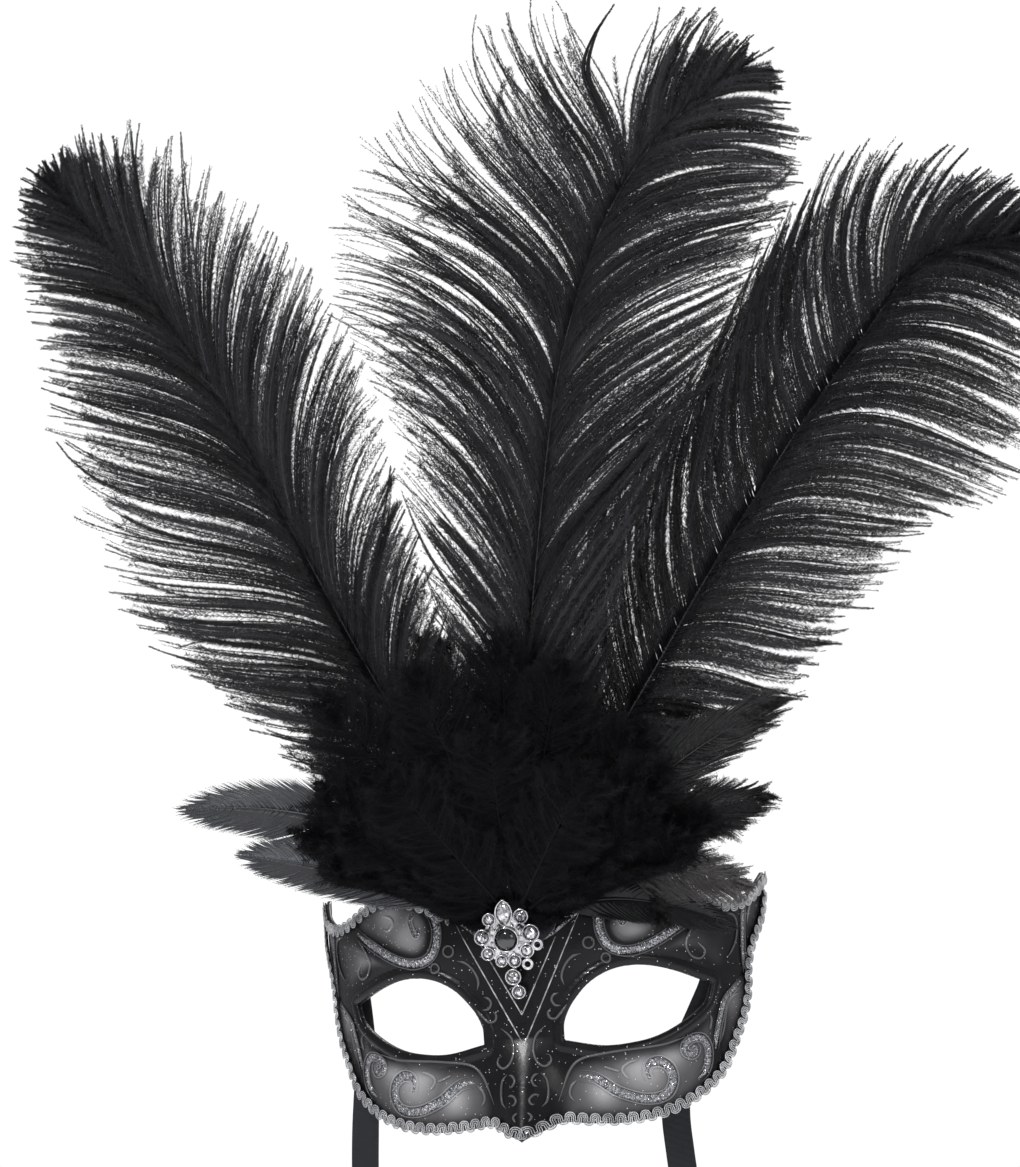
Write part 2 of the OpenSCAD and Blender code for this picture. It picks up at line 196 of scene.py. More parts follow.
ANGLES = np.linspace(-95, 95, 761)
ARCS = np.radians(0.25) * np.cumsum(
    np.hypot(HALF_WIDTH * np.cos(np.radians(ANGLES)), DEPTH * np.sin(np.radians(ANGLES)))
)
ARCS -= ARCS[len(ARCS) // 2]


def flat(surface):
    """Surface points given as angle and height, as millimetres round the face and up."""
    surface = np.asarray(surface, float)
    return np.stack([np.interp(surface[..., 0], ANGLES, ARCS), surface[..., 1]], -1)


def unflat(points):
    """Flat points as angle and height again."""
    return np.stack([np.interp(points[..., 0], ARCS, ANGLES), points[..., 1]], -1)


LIDS = np.vstack([smooth_curve(UPPER_LID, 8)[:-1], smooth_curve(LOWER_LID, 8)[:-1]])
LID_ANGLES = np.degrees(np.arcsin(LIDS[:, 0] / HALF_WIDTH))
EYE = flat(np.stack([LID_ANGLES, LIDS[:, 1]], -1))
EYE_RIM = 4.2
EYE_RIM_HEIGHT = 1.0

# Areas that are airbrushed pewter grey: outline as angle and height, brightness, soft edge.
PANELS = [
    ([(8.5, -28), (8.2, -18.3), (10, -9.3), (14.7, -5.6), (23.7, -4), (31.7, -3.2), (40, -1.5),
      (46, 3), (51, 9), (53, 4), (51.5, -8), (47, -20), (40, -26), (30, -30), (16, -30)], 1.0, 7),
    ([(47.5, 47), (40, 42), (33.5, 38.3), (28, 36.4), (24.8, 38.5), (23.4, 43), (23.6, 50),
      (28, 56), (36, 58), (44, 56), (50, 52)], 0.95, 4),
    ([(52, 45.5), (45, 39.5), (38, 35.4), (32.5, 32.6), (38, 31.4), (46, 31), (53, 25),
      (57, 25), (60, 33), (61, 43)], 0.55, 6),
    ([(56, 14), (60, 19), (66, 22), (68, 14), (63, 3), (57, -9), (53.5, -12), (54.5, 2)], 0.35, 5),
    ([(62, 47), (70, 50), (79, 56), (84, 58), (80, 45), (71, 34), (66, 27), (64, 38)], 0.4, 5),
]
# Brightest places of the airbrushing: angle, height and radius in mm.
PANEL_SPOTS = [
    (30, -10, 8.5), (37, -5, 7), (19, -18, 5.5), (30, 45, 7), (36, 52, 6), (46, 35, 7), (60, 12, 6),
    (72, 46, 8),
]
PANEL_SHADE = 0.2
PANEL_DEPTH = 0.35


def folded(points):
    """Flat points with the left half of the face laid on the right one."""
    return np.stack([np.abs(points[:, 0]), points[:, 1]], -1)


def eye_distance(points):
    """Distance from the edge of the nearest eye hole, less than 0 inside the hole."""
    half = folded(points)
    far = distance_to_line(half, np.vstack([EYE, EYE[:1]]))
    return np.where(inside(half, EYE), -far, far)


def panel_tone(points):
    """How grey the airbrushing is at each flat point, from 0 to 1."""
    half = folded(points)
    tone = np.zeros(len(points))
    for outline, bright, soft in PANELS:
        border = smooth_curve(outline + outline[:1], 4)[:-1]
        tone = np.maximum(tone, bright * ramp(depth_in(half, flat(border)), 0, soft))
    light = np.zeros(len(points))
    for angle, height, radius in PANEL_SPOTS:
        for spot in ((angle, height), (-angle, height)):
            far = np.hypot(*(points - flat(np.array([spot]))).T)
            light = np.maximum(light, bump(far, radius))
    return tone * (PANEL_SHADE + (1 - PANEL_SHADE) * light)


def rise(points):
    """How far the painted face stands out from the plain shell at each flat point."""
    d = eye_distance(points)
    across = np.clip(d / EYE_RIM, 0, 1)
    rim = EYE_RIM_HEIGHT * np.sqrt(np.clip(1 - (2 * across - 1) ** 2, 0, 1)) * (d < EYE_RIM)
    return rim - PANEL_DEPTH * ramp(panel_tone(points), 0, 0.25)


def on_face(surface):
    """Points and outward directions on the painted face, from angles and heights."""
    surface = np.asarray(surface, float)
    n = outward(surface[:, 0], surface[:, 1])
    return skin(surface[:, 0], surface[:, 1]) + rise(flat(surface))[:, None] * n, n


# ---- meshes ----


def build_mesh(name, points, faces, marks):
    """A mesh from points in millimetres and a list of face arrays, with a number per point for each mark."""
    faces = [np.asarray(f, np.int32) for f in faces if len(f)]
    points = np.asarray(points, float).reshape(-1, 3) * MM
    corners = np.concatenate([f.ravel() for f in faces])
    sizes = np.concatenate([np.full(len(f), f.shape[1]) for f in faces])
    mesh = bpy.data.meshes.new(name)
    mesh.vertices.add(len(points))
    mesh.vertices.foreach_set("co", points.astype(np.float32).ravel())
    mesh.loops.add(len(corners))
    mesh.loops.foreach_set("vertex_index", corners)
    mesh.polygons.add(len(sizes))
    starts = np.concatenate([[0], np.cumsum(sizes)[:-1]]).astype(np.int32)
    mesh.polygons.foreach_set("loop_start", starts)
    for mark, values in marks.items():
        layer = mesh.attributes.new(mark, "FLOAT", "POINT")
        layer.data.foreach_set("value", np.asarray(values, np.float32))
    mesh.update(calc_edges=True)
    mesh.validate()
    return mesh


def add_piece(name, points, faces, look, body="mask", nodes=(), marks=None, smooth=True):
    """A piece of the scene; faces is a list of arrays."""
    mesh = build_mesh(name, points, faces, marks or {})
    if smooth:
        mesh.shade_smooth()
    mesh.materials.append(look)
    piece = bpy.data.objects.new(name, mesh)
    bpy.context.scene.collection.objects.link(piece)
    if body:
        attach(piece, body)
    if nodes:
        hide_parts(*nodes)
    return piece


def joined(parts):
    """Several (points, faces) as one; faces are lists of arrays."""
    points, faces, first = [], [], 0
    for p, f in parts:
        points.append(p)
        faces += [np.asarray(g) + first for g in f]
        first += len(p)
    return np.vstack(points), faces


def rings_to_faces(count, rings, sides):
    """Faces of closed tubes: count tubes of so many rings, each of so many sides."""
    k = np.arange(sides)
    ring = np.arange(rings - 1)[:, None] * sides
    a, b = ring + k, ring + (k + 1) % sides
    one = np.stack([a, b, b + sides, a + sides], -1).reshape(-1, 4)
    first = np.arange(count)[:, None, None] * rings * sides
    walls = (one[None] + first).reshape(-1, 4)
    low = (k[::-1][None] + first[:, 0]).reshape(-1, sides)
    high = (k[None] + first[:, 0] + (rings - 1) * sides).reshape(-1, sides)
    return [walls, low, high]


def tubes(lines, radius, flatness=1.0, sides=3, facing=FRONT):
    """Closed tubes along lines of shape (count, points, 3), with a radius at each point."""
    lines = np.asarray(lines, float)
    radius = np.broadcast_to(radius, lines.shape[:2])
    t = unit(np.gradient(lines, axis=1))
    side = unit(np.cross(t, facing))
    face = np.cross(side, t)
    turn = around(sides, 0.5)
    reach = np.cos(turn)[:, None] * side[:, :, None]
    reach = reach + flatness * np.sin(turn)[:, None] * face[:, :, None]
    points = lines[:, :, None] + radius[:, :, None, None] * reach
    return points.reshape(-1, 3), rings_to_faces(lines.shape[0], lines.shape[1], sides)


RIB_SIDES = 10
RIB_SUNK_SHARE = 0.3
GRAIN_HEIGHT = 0.09


def rib(path, width, height, grain=None):
    """A low rounded rib on the painted face along a stroke of angles and heights."""
    centre, n = on_face(path)
    side = unit(np.cross(headings(centre), n))
    turn = around(RIB_SIDES, 0.5)
    up = np.where(np.sin(turn) > 0, np.sin(turn), RIB_SUNK_SHARE * np.sin(turn))
    width = np.broadcast_to(width, len(path))
    height = np.broadcast_to(height, len(path))
    rings = centre[:, None] + (width / 2)[:, None, None] * np.cos(turn)[:, None] * side[:, None]
    rings = rings + height[:, None, None] * up[:, None] * n[:, None]
    if grain is not None:
        rough = grain.normal(0, GRAIN_HEIGHT, rings.shape[:2]) * (up > 0.1)
        rings = rings + rough[:, :, None] * n[:, None]
    return rings.reshape(-1, 3), rings_to_faces(1, len(path), RIB_SIDES)


def stroke(points, gap=0.4, shift=0.0):
    """A smooth stroke on the face through angles and heights, moved sideways by shift."""
    line = even_spacing(smooth_curve(flat(points), 8), gap)
    return unflat(line + shift * left_of(headings(line)))


def circle_stroke(centre, radius):
    """A round stroke on the face about an angle and height."""
    middle = flat(np.array([centre]))[0]
    a = np.radians(np.linspace(0, 360, 25))
    return unflat(middle + radius * np.stack([np.cos(a), np.sin(a)], -1))


def mirrored(path):
    """The same path on the other side of the face."""
    return np.asarray(path)[::-1] * np.array([-1.0, 1.0])


def taper(count, start=0.25, end=0.25, share=0.18):
    """Widths that run from start to 1 and back to end."""
    t = np.linspace(0, 1, count)
    rising = start + (1 - start) * ramp(t, 0, share)
    falling = end + (1 - end) * ramp(1 - t, 0, share)
    return rising * falling


# ---- materials ----


class Look:
    """A node material round one Principled shader.

    Values are set on the shader's sockets. Where a noise is linked to a socket later, its
    value is roughly what the noise wanders about.
    """

    def __init__(self, name, **values):
        self.material = bpy.data.materials.new(name)
        self.material.use_nodes = True
        self.tree = self.material.node_tree
        self.shader = self.tree.nodes["Principled BSDF"]
        for socket, value in values.items():
            self.shader.inputs[socket.replace("_", " ")].default_value = value

    def node(self, kind, **settings):
        made = self.tree.nodes.new("ShaderNode" + kind)
        for key, value in settings.items():
            setattr(made, key, value)
        return made

    def link(self, source, target):
        self.tree.links.new(source, target)
        return self

    def mark(self, name):
        made = self.node("Attribute")
        made.attribute_name = name
        return made.outputs["Fac"]

    def place(self, scale=(1, 1, 1)):
        """Object coordinates, stretched."""
        where = self.node("TexCoord")
        mapping = self.node("Mapping")
        mapping.inputs["Scale"].default_value = scale
        self.link(where.outputs["Object"], mapping.inputs["Vector"])
        return mapping.outputs["Vector"]

    def noise(self, scale, detail=3.0, stretch=(1, 1, 1), rough=0.5):
        made = self.node("TexNoise")
        made.inputs["Scale"].default_value = scale
        made.inputs["Detail"].default_value = detail
        made.inputs["Roughness"].default_value = rough
        self.link(self.place(stretch), made.inputs["Vector"])
        return made.outputs["Fac"]

    def cells(self, scale, random=1.0):
        made = self.node("TexVoronoi", feature="F1")
        made.inputs["Scale"].default_value = scale
        made.inputs["Randomness"].default_value = random
        self.link(self.place(), made.inputs["Vector"])
        return made

    def cell_numbers(self, cells):
        """Three random numbers that are the same all over each cell."""
        split = self.node("SeparateColor")
        self.link(cells.outputs["Color"], split.inputs[0])
        return split.outputs

    def math(self, operation, a, b=0.0):
        made = self.node("Math", operation=operation)
        for socket, value in zip(made.inputs, (a, b)):
            if isinstance(value, (int, float)):
                socket.default_value = value
            else:
                self.link(value, socket)
        return made.outputs[0]

    def spread(self, value, low, high, to_low=0.0, to_high=1.0):
        made = self.node("MapRange")
        made.inputs["From Min"].default_value = low
        made.inputs["From Max"].default_value = high
        made.inputs["To Min"].default_value = to_low
        made.inputs["To Max"].default_value = to_high
        self.link(value, made.inputs["Value"])
        return made.outputs["Result"]

    def blend(self, share, a, b):
        """A colour between a and b; each is a colour or a socket."""
        made = self.node("Mix", data_type="RGBA")
        self.link(share, made.inputs["Factor"])
        for socket, value in ((made.inputs[6], a), (made.inputs[7], b)):
            if isinstance(value, tuple):
                socket.default_value = (*value, 1)
            else:
                self.link(value, socket)
        return made.outputs[2]

    def mottled(self, noise, low, high, dark, light):
        """A colour that wanders between two with a noise."""
        return self.colour(self.blend(self.spread(noise, low, high), dark, light))

    def worn(self, noise, low, high):
        """A roughness that wanders between two with a noise."""
        return self.roughness(self.spread(noise, 0.3, 0.7, low, high))

    def colour(self, socket):
        return self.link(socket, self.shader.inputs["Base Color"])

    def roughness(self, socket):
        return self.link(socket, self.shader.inputs["Roughness"])

    def bump(self, height, distance, strength=1.0, normal=None):
        made = self.node("Bump")
        made.inputs["Distance"].default_value = distance
        made.inputs["Strength"].default_value = strength
        self.link(height, made.inputs["Height"])
        if normal is not None:
            self.link(normal, made.inputs["Normal"])
        self.link(made.outputs["Normal"], self.shader.inputs["Normal"])
        return made.outputs["Normal"]

    def tilted_flakes(self, cells, tilt):
        """A normal that leans its own way in each cell, as glitter flakes do."""
        centred = self.node("VectorMath", operation="SUBTRACT")
        centred.inputs[1].default_value = (0.5, 0.5, 0.5)
        self.link(cells.outputs["Color"], centred.inputs[0])
        scaled = self.node("VectorMath", operation="SCALE")
        scaled.inputs["Scale"].default_value = tilt
        self.link(centred.outputs[0], scaled.inputs[0])
        surface = self.node("NewGeometry")
        added = self.node("VectorMath", operation="ADD")
        self.link(surface.outputs["Normal"], added.inputs[0])
        self.link(scaled.outputs[0], added.inputs[1])
        made = self.node("VectorMath", operation="NORMALIZE")
        self.link(added.outputs[0], made.inputs[0])
        return made.outputs[0]


def shell_look():
    """Black satin paint with pewter airbrushing, a painted highlight along the crests of raised lines and
    sparse glitter specks.
    """
    look = Look("mask_paint", Roughness=0.34, Specular_IOR_Level=0.24,
                Coat_Weight=0.12, Coat_Roughness=0.1)
    grey = look.mark("grey")
    cloudy = look.noise(55, 4)
    grey = look.math("MULTIPLY", grey, look.spread(cloudy, 0.25, 0.7, 0.78, 1.05))
    paint = look.blend(look.math("MINIMUM", grey, 1.0), (0.004, 0.004, 0.005), (0.33, 0.32, 0.325))
    specks = look.cells(1300)
    near = look.math("LESS_THAN", specks.outputs["Distance"], 0.26)
    chosen = look.math("GREATER_THAN", look.cell_numbers(specks)[0], 0.93)
    speck = look.math("MULTIPLY", near, chosen)
    look.colour(look.blend(speck, paint, (0.8, 0.82, 0.85)))
    look.link(look.math("MULTIPLY", speck, 0.9), look.shader.inputs["Metallic"])
    look.roughness(look.spread(look.noise(160, 5), 0.3, 0.75, 0.24, 0.46))
    look.bump(look.noise(900, 3), 0.00012, 0.5)
    return look.material


def line_look():
    """Thin lines of silver paint, a little broken where they crossed the paint's grain."""
    look = Look("silver_line_paint", Metallic=0.5, Roughness=0.34)
    look.mottled(look.noise(300, 4), 0.35, 0.62, (0.12, 0.12, 0.125), (0.6, 0.6, 0.61))
    look.worn(look.noise(500, 2), 0.25, 0.45)
    look.bump(look.noise(1200, 2), 0.0001, 0.4)
    return look.material


def glitter_look(name, dark, light, scale=1500):
    """Silver glitter: small flat flakes that each lean their own way."""
    look = Look(name, Metallic=0.85, Roughness=0.22)
    flakes = look.cells(scale)
    numbers = look.cell_numbers(flakes)
    look.mottled(numbers[1], 0.2, 0.95, dark, light)
    look.roughness(look.spread(numbers[0], 0, 1, 0.12, 0.5))
    look.bump(flakes.outputs["Distance"], 0.0002, 0.5, look.tilted_flakes(flakes, 1.1))
    return look.material


def thread_look():
    """Silver-wrapped gimp thread: fine wrapping across the thread, its tone and roughness mottled."""
    look = Look("gimp_thread", Metallic=0.65, Roughness=0.32)
    wrap = look.math("SINE", look.mark("wrap"))
    look.mottled(look.noise(140, 4), 0.35, 0.7, (0.32, 0.32, 0.33), (0.76, 0.76, 0.77))
    look.worn(look.noise(800, 2), 0.26, 0.5)
    look.bump(wrap, 0.00008, 0.8)
    return look.material


def felt_look():
    """Matted black wool, mottled and fuzzy."""
    look = Look("black_felt", Roughness=0.95, Specular_IOR_Level=0.15,
                Sheen_Weight=0.5, Sheen_Roughness=0.5)
    look.mottled(look.noise(260, 5), 0.3, 0.7, (0.008, 0.008, 0.009), (0.03, 0.03, 0.033))
    look.bump(look.noise(1400, 6, rough=0.75), 0.0005, 1.0)
    return look.material


def quill_look():
    """Dyed horn: dark, glossy, streaked along its length."""
    look = Look("dyed_quill", Roughness=0.3, Coat_Weight=0.3)
    streaks = look.noise(30, 4, (12, 12, 1))
    look.mottled(streaks, 0.35, 0.7, (0.008, 0.008, 0.008), (0.03, 0.028, 0.027))
    look.worn(look.noise(300, 3), 0.22, 0.42)
    look.bump(look.noise(200, 3, (6, 6, 1)), 0.0001, 0.5)
    return look.material


def barb_look(name, base, rough, sheen, spec=0.5):
    """Dyed barbs: dark, with a soft sheen along the fibre that changes from clump to clump."""
    look = Look(name, Base_Color=(*base, 1), Roughness=rough, Specular_IOR_Level=spec,
                Sheen_Weight=sheen, Sheen_Roughness=0.4, Sheen_Tint=(0.85, 0.9, 1.0, 1))
    look.worn(look.noise(70, 4), rough - 0.14, rough + 0.12)
    look.bump(look.noise(2200, 2), 0.00006, 0.5)
    return look.material


def silver_look():
    """Cast silver with darker tarnish in places."""
    look = Look("brooch_silver", Metallic=1.0, Roughness=0.2)
    look.mottled(look.noise(420, 5), 0.4, 0.72, (0.78, 0.77, 0.78), (0.3, 0.3, 0.32))
    look.worn(look.noise(900, 3), 0.1, 0.34)
    look.bump(look.noise(1500, 3), 0.00008, 0.5)
    return look.material


def stone_look(name, dark, light, metal, tilt):
    """Foil-backed cut glass: small facets that each lean and shine their own way."""
    look = Look(name, Metallic=metal, Roughness=0.08, IOR=1.6, Coat_Weight=1.0, Coat_Roughness=0.02)
    facets = look.cells(1150, random=0.8)
    numbers = look.cell_numbers(facets)
    look.mottled(numbers[1], 0.15, 0.85, dark, light)
    look.roughness(look.spread(numbers[0], 0, 1, 0.04, 0.2))
    look.bump(facets.outputs["Distance"], 0.0001, 0.3, look.tilted_flakes(facets, tilt))
    return look.material


def satin_look():
    """Black satin ribbon: fine crosswise ribs and a slightly bluish sheen."""
    look = Look("black_satin", Roughness=0.4, Specular_IOR_Level=0.3, Anisotropic=0.5,
                Sheen_Weight=0.12, Sheen_Roughness=0.35, Sheen_Tint=(0.8, 0.88, 1.0, 1))
    weave = look.math("SINE", look.mark("weft"))
    selvedge = look.mark("selvedge")
    cloudy = look.spread(look.noise(35, 3), 0.3, 0.7, 0, 0.6)
    tone = look.math("ADD", cloudy, look.math("MULTIPLY", selvedge, 0.4))
    look.colour(look.blend(tone, (0.006, 0.007, 0.009), (0.016, 0.018, 0.022)))
    look.worn(look.noise(90, 3), 0.3, 0.46)
    look.bump(weave, 0.00004, 0.7)
    return look.material


# ---- camera ----

CAMERA_AZIMUTH, CAMERA_ELEVATION, CAMERA_ROLL = (math.radians(v) for v in (10, -4, 3.9))
CAMERA_AIM = Vector((0.0064, 0, 0.1761))
CAMERA_DISTANCE = 1.5
CAMERA_LENS = 121.2
CAMERA_SENSOR = 36
CAMERA_CLIP_END = 20


def make_camera():
    """The camera, where the photo was taken from."""
    a, e, r = CAMERA_AZIMUTH, CAMERA_ELEVATION, CAMERA_ROLL
    right = Vector((math.cos(a), math.sin(a), 0))
    back = Vector((math.sin(a) * math.cos(e), -math.cos(a) * math.cos(e), math.sin(e)))
    up = back.cross(right)
    x = right * math.cos(r) - up * math.sin(r)
    y = right * math.sin(r) + up * math.cos(r)
    data = bpy.data.cameras.new("camera")
    data.lens = CAMERA_LENS
    data.sensor_width = CAMERA_SENSOR
    data.clip_end = CAMERA_CLIP_END
    camera = bpy.data.objects.new("camera", data)
    place = Matrix((x, y, back)).transposed().to_4x4()
    place.translation = CAMERA_AIM + CAMERA_DISTANCE * back
    camera.matrix_world = place
    bpy.context.scene.collection.objects.link(camera)
    bpy.context.scene.camera = camera


make_camera()

# ---- ribbon ties ----

RIBBON_WIDTH = 11.0
RIBBON_THICKNESS = 0.5
RIBBON_END = -370.0
RIBBON_CUP = 0.35
TWIST = 9.0
TWIST_RUN = 31.0
# Route of each ribbon from its glued end: x, y, z and the turn of its flat face about Z.
LEFT_ROUTE = [
    (-69.6, 34.6, 27, -46), (-69.3, 35.6, 20, -44), (-69.3, 36.8, 10, -40), (-69.8, 38.4, 0, -34),
    (-70.8, 40, -10, -26), (-72, 41.6, -20, -16), (-73.4, 43, -32, -8), (-74.6, 44, -46, -4),
    (-75, 44, -60, 0),
]
RIGHT_ROUTE = [
    (69.6, 34.6, 27, 46), (68.2, 35, 20, 40), (63.6, 35.6, 10, 26), (58.6, 36, 0, 12),
    (54.4, 36.2, -10, 4), (51.8, 36.4, -20, 0), (50.6, 36.8, -32, 0), (51.2, 37.4, -46, 0),
    (52, 38, -60, 0),
]
FREE_STEPS = 12
ACROSS = 14
WEFT_PITCH = 0.45
# The woven edge of a ribbon, as shares of its half width, and how much thicker it is.
SELVEDGE_START, SELVEDGE_MIDDLE, SELVEDGE_FULL = 0.86, 0.9, 0.97
SELVEDGE_EXTRA = 0.28


def strip(path, turns, width, thickness, cup):
    """A flat band along a path, each section turned about Z, its edges cupped forwards."""
    u = np.linspace(-1, 1, ACROSS)
    a = np.radians(turns)
    side = np.stack([np.cos(a), np.sin(a), 0 * a], -1)
    face = np.stack([-np.sin(a), np.cos(a), 0 * a], -1)
    edge = thickness * (0.5 + SELVEDGE_EXTRA * ramp(np.abs(u), SELVEDGE_START, SELVEDGE_FULL))
    across = side[:, None] * (u * width / 2)[:, None]
    front = across + face[:, None] * (-cup * u ** 2 - edge)[:, None]
    back = across + face[:, None] * (-cup * u ** 2 + edge)[:, None]
    rings = path[:, None] + np.concatenate([front, back[:, ::-1]], 1)
    return rings.reshape(-1, 3), rings_to_faces(1, len(path), 2 * ACROSS)


def ribbon_marks(path):
    """Where each point of a strip is along the weave, and whether it is on the selvedge."""
    u = np.linspace(-1, 1, ACROSS)
    along = lengths_along(path)
    weft = np.repeat(along * 2 * np.pi / WEFT_PITCH, 2 * ACROSS)
    edge = np.concatenate([np.abs(u), np.abs(u)]) > SELVEDGE_MIDDLE
    return {"weft": weft, "selvedge": np.tile(edge, len(path))}


def make_ribbon(side, route, look, twist_start):
    """A satin tie that hangs from the inside of the temple."""
    low = route[-1]
    drop = (RIBBON_END - low[2]) / FREE_STEPS
    free = [(low[0], low[1], low[2] + drop * k, low[3]) for k in range(1, FREE_STEPS + 1)]
    centre = np.array(route + free, float)
    fine = smooth_curve(centre, 10)
    fine[-1, 2] = RIBBON_END
    path, turns = fine[:, :3], fine[:, 3]
    turns = turns + ramp(-path[:, 2], 0, 60) * TWIST * np.sin(path[:, 2] / TWIST_RUN + twist_start)
    points, faces = strip(path, turns, RIBBON_WIDTH, RIBBON_THICKNESS, RIBBON_CUP)
    piece = add_piece(f"{side}_satin_ribbon", points, faces, look, body=None,
                      nodes=[f"{side}_tie"], marks=ribbon_marks(path))
    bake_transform(piece)


satin = satin_look()
make_ribbon("left", LEFT_ROUTE, satin, 1.0)
make_ribbon("right", RIGHT_ROUTE, satin, 2.4)

# ---- the painted shell ----

EDGE_STEPS = 14
SHELL_ROWS = 118
EDGE_DROP = 0.25
EDGE_MIDDLE = 0.8
BACK_GREY = 0.03
EYE_SNAP = 0.06
half_edge = smooth_curve(EDGE, EDGE_STEPS)
whole_edge = np.vstack([half_edge[:0:-1] * np.array([-1, 1, -1, 1]), half_edge])


def clip_triangles(corners, keep, triangles):
    """Cuts triangles along the line where keep is 0 and drops the side where it is negative."""
    signs = keep[triangles] >= 0
    count = signs.sum(1)
    whole = triangles[count == 3]
    made, new_faces, index = [], [], {}

    def cut(i, j):
        key = (min(i, j), max(i, j))
        if key not in index:
            share = keep[i] / (keep[i] - keep[j])
            index[key] = len(corners) + len(made)
            made.append(corners[i] + share * (corners[j] - corners[i]))
        return index[key]

    for tri, sign in zip(triangles[(count == 1) | (count == 2)], signs[(count == 1) | (count == 2)]):
        turn = int(np.argmax(sign if sign.sum() == 1 else ~sign))
        a, b, c = (int(v) for v in np.roll(tri, -turn))
        if sign.sum() == 1:
            new_faces.append((a, cut(a, b), cut(a, c)))
        else:
            ab, ac = cut(b, a), cut(c, a)
            new_faces.append((ab, b, c))
            new_faces.append((ab, c, ac))
    return np.vstack([corners, made]), np.vstack([whole, new_faces])


def border_edges(triangles):
    """Edges that only one triangle uses, in that triangle's direction."""
    edges = np.concatenate([triangles[:, [0, 1]], triangles[:, [1, 2]], triangles[:, [2, 0]]])
    low, high = edges.min(1), edges.max(1)
    key = low.astype(np.int64) * (triangles.max() + 1) + high
    _, first, uses = np.unique(key, return_index=True, return_counts=True)
    return edges[first[uses == 1]]


def shell_surface():
    """Triangles over the shell's outline without its eye holes, as angles and heights."""
    share = np.linspace(0, 1, SHELL_ROWS + 1)[None, :, None]
    low, high = whole_edge[:, None, :2], whole_edge[:, None, 2:]
    grid = (low + (high - low) * share).reshape(-1, 2)
    rows = SHELL_ROWS + 1
    c = np.arange(len(whole_edge) - 1)[:, None] * rows
    a = (c + np.arange(SHELL_ROWS)).ravel()
    triangles = np.concatenate([
        np.stack([a, a + rows, a + 1], -1), np.stack([a + rows, a + rows + 1, a + 1], -1)
    ])
    far = eye_distance(flat(grid))
    far = np.where(np.abs(far) < EYE_SNAP, 0.0, far)
    surface, triangles = clip_triangles(grid, far, triangles)
    used, packed = np.unique(triangles, return_inverse=True)
    return surface[used], packed.reshape(-1, 3)


def make_shell(look):
    """The moulded shell: painted front, plain back and a rounded edge between them."""
    surface, triangles = shell_surface()
    border = border_edges(triangles)
    on_plane = flat(surface)
    n = outward(surface[:, 0], surface[:, 1])
    plain = skin(surface[:, 0], surface[:, 1])
    edge_drop = np.zeros(len(surface))
    edge_drop[border.ravel()] = EDGE_DROP
    front = plain + (rise(on_plane) - edge_drop)[:, None] * n
    back = plain - WALL * n
    middle = plain - EDGE_MIDDLE * n
    ring, place = np.unique(border, return_inverse=True)
    place = place.reshape(-1, 2)
    bulge = middle[ring]
    points = np.vstack([front, back, bulge])
    total = len(surface)
    b0, b1 = border[:, 0], border[:, 1]
    m0, m1 = place[:, 0] + 2 * total, place[:, 1] + 2 * total
    walls = np.concatenate([
        np.stack([b1, b0, m0, m1], -1), np.stack([m1, m0, b0 + total, b1 + total], -1)
    ])
    faces = [triangles, triangles[:, ::-1] + total, walls]
    # Painted shadow: the airbrushing is darkened at the right temple, under the hanging feathers.
    tone = panel_tone(on_plane)
    right_temple_painted_shadow = ramp(surface[:, 0], 38, 48) * ramp(surface[:, 1], 24, 34)
    tone = tone * (1 - 0.75 * right_temple_painted_shadow)
    marks = {"grey": np.concatenate([tone, np.full(total, BACK_GREY), np.zeros(len(bulge))])}
    add_piece("painted_shell", points, faces, look, nodes=["mask_shell"], marks=marks)


paint = shell_look()
make_shell(paint)

# ---- raised scrolls ----

# Thin raised lines of the right half, as angle and height; each is repeated on the left.
LINES = [
    [(15.8, 34.1), (13.8, 33.4), (12.1, 31.3), (10.9, 28.3), (10.5, 25.5), (11, 22.6)],
    [(9.4, 19.9), (8.1, 19.1), (7.6, 17.3), (8.4, 15.3), (9.8, 15)],
    [(7.3, 14.2), (6.5, 12.7), (6.9, 10.7), (8.3, 10.3), (9.7, 12.4), (11.3, 15.3)],
    [(5.5, 7.7), (3.3, 4.5), (2.5, 0.9), (2.6, -2.8), (3.6, -6), (5.2, -7.3), (6.6, -5.7),
     (6.4, -3.4), (5.5, -2.8)],
    [(3.7, -9.8), (2.7, -10.3), (2.1, -12), (2.6, -13.9), (3.5, -14.5)],
    [(4.2, -9.6), (5.4, -12), (5.8, -16.1), (5.5, -20), (4.4, -22)],
    [(3.9, -17.5), (2.5, -17.5), (1.6, -19.2), (2.1, -20.8), (2.9, -20.8)],
    [(1.2, -23.6), (2.2, -25.2), (1.6, -27)],
    [(44, 0.2), (36, -2.4), (29.2, -3.2), (23.9, -3.6), (18.8, -4.3), (15, -5.1), (12.4, -7),
     (10.6, -10.6), (9.3, -15.4), (8, -20.8)],
    [(12.6, -13.3), (11.1, -15.6), (10.7, -18.7), (11.8, -21.3)],
    [(28.7, -7.3), (26.1, -8.2), (24.3, -10.3), (24.9, -12.7), (26.3, -14.5)],
    [(19.6, -9), (21.8, -10.3), (23.7, -11.2)],
    [(63.2, 14.3), (59.2, 12.7), (56.8, 8.2), (55.4, 1.7), (53.6, -3.9)],
    [(50.7, 6.9), (51, 5), (50.3, 1.3)],
    [(58.2, 45.4), (62.4, 44.2), (63.8, 40.2), (62.7, 34.5), (60.1, 29.9), (58.4, 28.2)],
    [(49.7, 44.6), (46, 39.4), (44.6, 34.3), (45.8, 30.2), (48.7, 28.9), (50.6, 31.6), (48.6, 34.9)],
    [(81, 56), (77, 53.5), (73.9, 50.2), (70.9, 45.5), (69.7, 40.7)],
    [(38.2, 52.8), (35.5, 51.7), (34.7, 49.3), (36.5, 47), (38.4, 47.6)],
]
